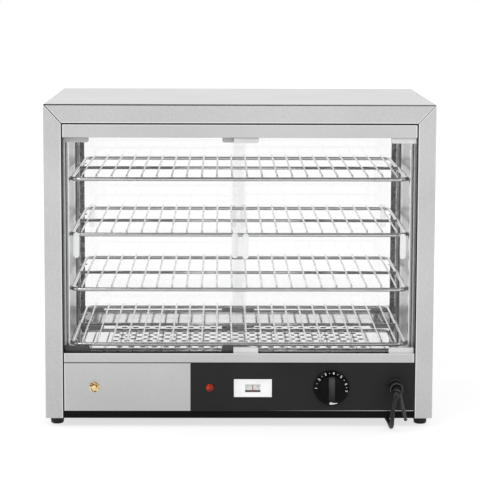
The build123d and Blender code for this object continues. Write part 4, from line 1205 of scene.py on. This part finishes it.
STEEL = grey(0.62)
steel_wrap = wrap_steel("steel_wrap", STEEL)
steel_across = satin("steel_across", STEEL)
header_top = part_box("front_header")[1].z
steel_header = satin("steel_header", STEEL, trim=(header_top - HEADER_EDGE, header_top))
sill_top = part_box("front_sill")[1].z
steel_sill = satin("steel_sill", STEEL, trim=(sill_top - SILL_EDGE, sill_top))
steel_panel = panel_steel("steel_panel", STEEL)
steel_inside = side_steel("steel_inside", grey(0.42))
# Painted shade: the uprights' steel is given a dark grey
upright_steel_shaded = bright("upright_steel_shaded", grey(0.30), rough=(0.10, 0.2), scale=120.0, waves=0.00008)
steel_bright = bright("steel_bright", grey(0.80), rough=(0.06, 0.12), scale=40.0, waves=0.00004)
polished = bright("polished_floor", grey(0.93), rough=(0.02, 0.05), scale=9.0, waves=0.00001)
# Painted shade: the walls of the holes in the polished floor are painted nearly black
hole_shade = dull("hole_walls", grey(0.012), shine=0.2)
# Painted shade: the element tray under the perforated floor is painted nearly black
tray_shade = dull("tray_steel_in_shade", grey(0.012), rough=(0.5, 0.6), shine=0.2)
# Painted light and shade: the same aluminium track is a nearly black shaded copy at the front and a
# bright mirror copy at the rear
track_shaded = dull("track_in_shade", grey(0.006), rough=(0.4, 0.55), shine=0.2)
track_lit = bright("lit_track", grey(0.95), rough=(0.04, 0.08), scale=20.0, waves=0.00001)
aluminium = dull("aluminium_tracks", grey(0.80), rough=(0.3, 0.45), depth=0.00001)
plated = bright("plated_rails", grey(0.72), rough=(0.03, 0.06), scale=60.0, waves=0.00002)
wires = bright("plated_wires", grey(1.0), rough=(0.22, 0.3), scale=90.0, waves=0.00001)
glass = clear("door_glass", (0.96, 0.964, 0.961))
frosted = clear("frosted_glass", (0.95, 0.955, 0.95), rough=0.42)
pull_white = clear("pull_white", (0.95, 0.955, 0.95), rough=0.42, transmission=0.45)
gauge_pane = clear("gauge_pane", grey(1.0))
# Painted shade: one grey plastic, painted nearly black on the lower shoes as shade and lit grey on
# the upper ones
shoe_grey_shaded_low = lit_above_shaded_below("shoe_grey_shaded_low", grey(0.06), grey(0.60), 0.25, 0.01)
# Painted light: a pale lit copy of the same grey plastic, for the front right door's shoes
shoe_lit_copy = dull("shoe_lit_copy", (0.66, 0.66, 0.67))
sheath = satin("element_sheath", (0.12, 0.115, 0.11), rough=(0.4, 0.55))
black_paint = dull("black_paint", grey(0.004), rough=(0.35, 0.5), shine=0.08)
fascia_black = dull("fascia_black", grey(0.011), rough=(0.42, 0.58), depth=0.00006,
                    scale=700.0, shine=0.28)
black_plastic = dull("black_plastic", grey(0.005), rough=(0.2, 0.32), shine=0.4)
tie_nylon = dull("tie_nylon", grey(0.012), rough=(0.08, 0.14), shine=0.9)
knob_black = dull("knob_black", grey(0.0025), rough=(0.12, 0.2), shine=0.1)
# Painted highlight: the grip bar's upper half is painted lighter than its lower half
knob_low, knob_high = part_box("knob")
grip_black_lit_top = lit_above_shaded_below("grip_black_lit_top", grey(0.001), grey(0.075),
                       (knob_low.z + knob_high.z) / 2, 0.024, shine=0.12)
white_plastic = dull("white_plastic", (0.88, 0.88, 0.885), rough=(0.2, 0.35))
card_white = dull("card_white", grey(0.99), rough=(0.4, 0.5), shine=0.2)
print_white = dull("print_white", grey(0.90), rough=(0.4, 0.5))
print_black = dull("print_black", grey(0.02), rough=(0.4, 0.5))
# Painted highlights and shade in patches on the lamp's red lens and on the brass
red_plastic = reflection_patches("red_plastic", (0.12, 0.003, 0.0), (0.50, 0.035, 0.002), 0.12, 0.0)
brass = reflection_patches("brass", (0.16, 0.045, 0.006), (1.0, 0.78, 0.40), 0.14, 1.0)
rubber = dull("black_rubber", grey(0.008), rough=(0.35, 0.55), shine=0.4)

by_slot = {
    "stainless": steel_across,
    "bright_steel": steel_bright,
    "aluminium": aluminium,
    "plated_wire": plated,
    "door_glass": glass,
    "grey_plastic": shoe_grey_shaded_low,
    "element_sheath": sheath,
    "black_metal": black_paint,
    "black_plastic": black_plastic,
    "white_plastic": white_plastic,
    "red_plastic": red_plastic,
    "brass": brass,
    "black_rubber": rubber,
}
by_node = {
    "outer_wrap": steel_wrap,
    "inner_side_left": steel_inside,
    "inner_side_right": steel_inside,
    "uprights_left": upright_steel_shaded,
    "uprights_right": upright_steel_shaded,
    "control_fascia": fascia_black,
    "control_panel": steel_panel,
    "front_header": steel_header,
    "front_sill": steel_sill,
    "element_tray": tray_shade,
    "gauge_window": gauge_pane,
    "gauge_dial": card_white,
    "front_bottom_track": track_shaded,
    "rear_bottom_track": track_lit,
    "front_shoes_right": shoe_lit_copy,
    "rear_shoes_left": frosted,
    "rear_shoes_right": frosted,
}
for row in frame["record"]["subparts"]:
    obj = frame["nodes"][row["node"]]
    finish = by_node.get(row["node"], by_slot[row["material_slot"]])
    for slot in obj.material_slots:
        slot.material = finish
    if not obj.material_slots:
        obj.data.materials.append(finish)

cord = power_cord(rubber)
tie = beaded_tie(tie_nylon)
for number in range(1, SHELF_COUNT + 1):
    wire_shelf(number, plated, wires)
round_hole_floor(polished, hole_shade)
for side in ("left", "right"):
    finger_pulls(f"front_glass_{side}", f"front_door_{side}", -1, pull_white)
    finger_pulls(f"rear_glass_{side}", f"rear_door_{side}", 1, frosted)
knob_print(dial_knob(knob_black, grip_black_lit_top), print_white)
gauge_print(print_black)
lamp_jewel(red_plastic)
threaded_stud(brass)
panel_rivets(steel_bright)
# Black strips of painted shade in the gaps round the front and rear trim, with the dark sill joints
shade_and_joint_strips("front_shade_and_joint_strips", -1, rubber)
shade_and_joint_strips("rear_shade_and_joint_strips", 1, rubber)
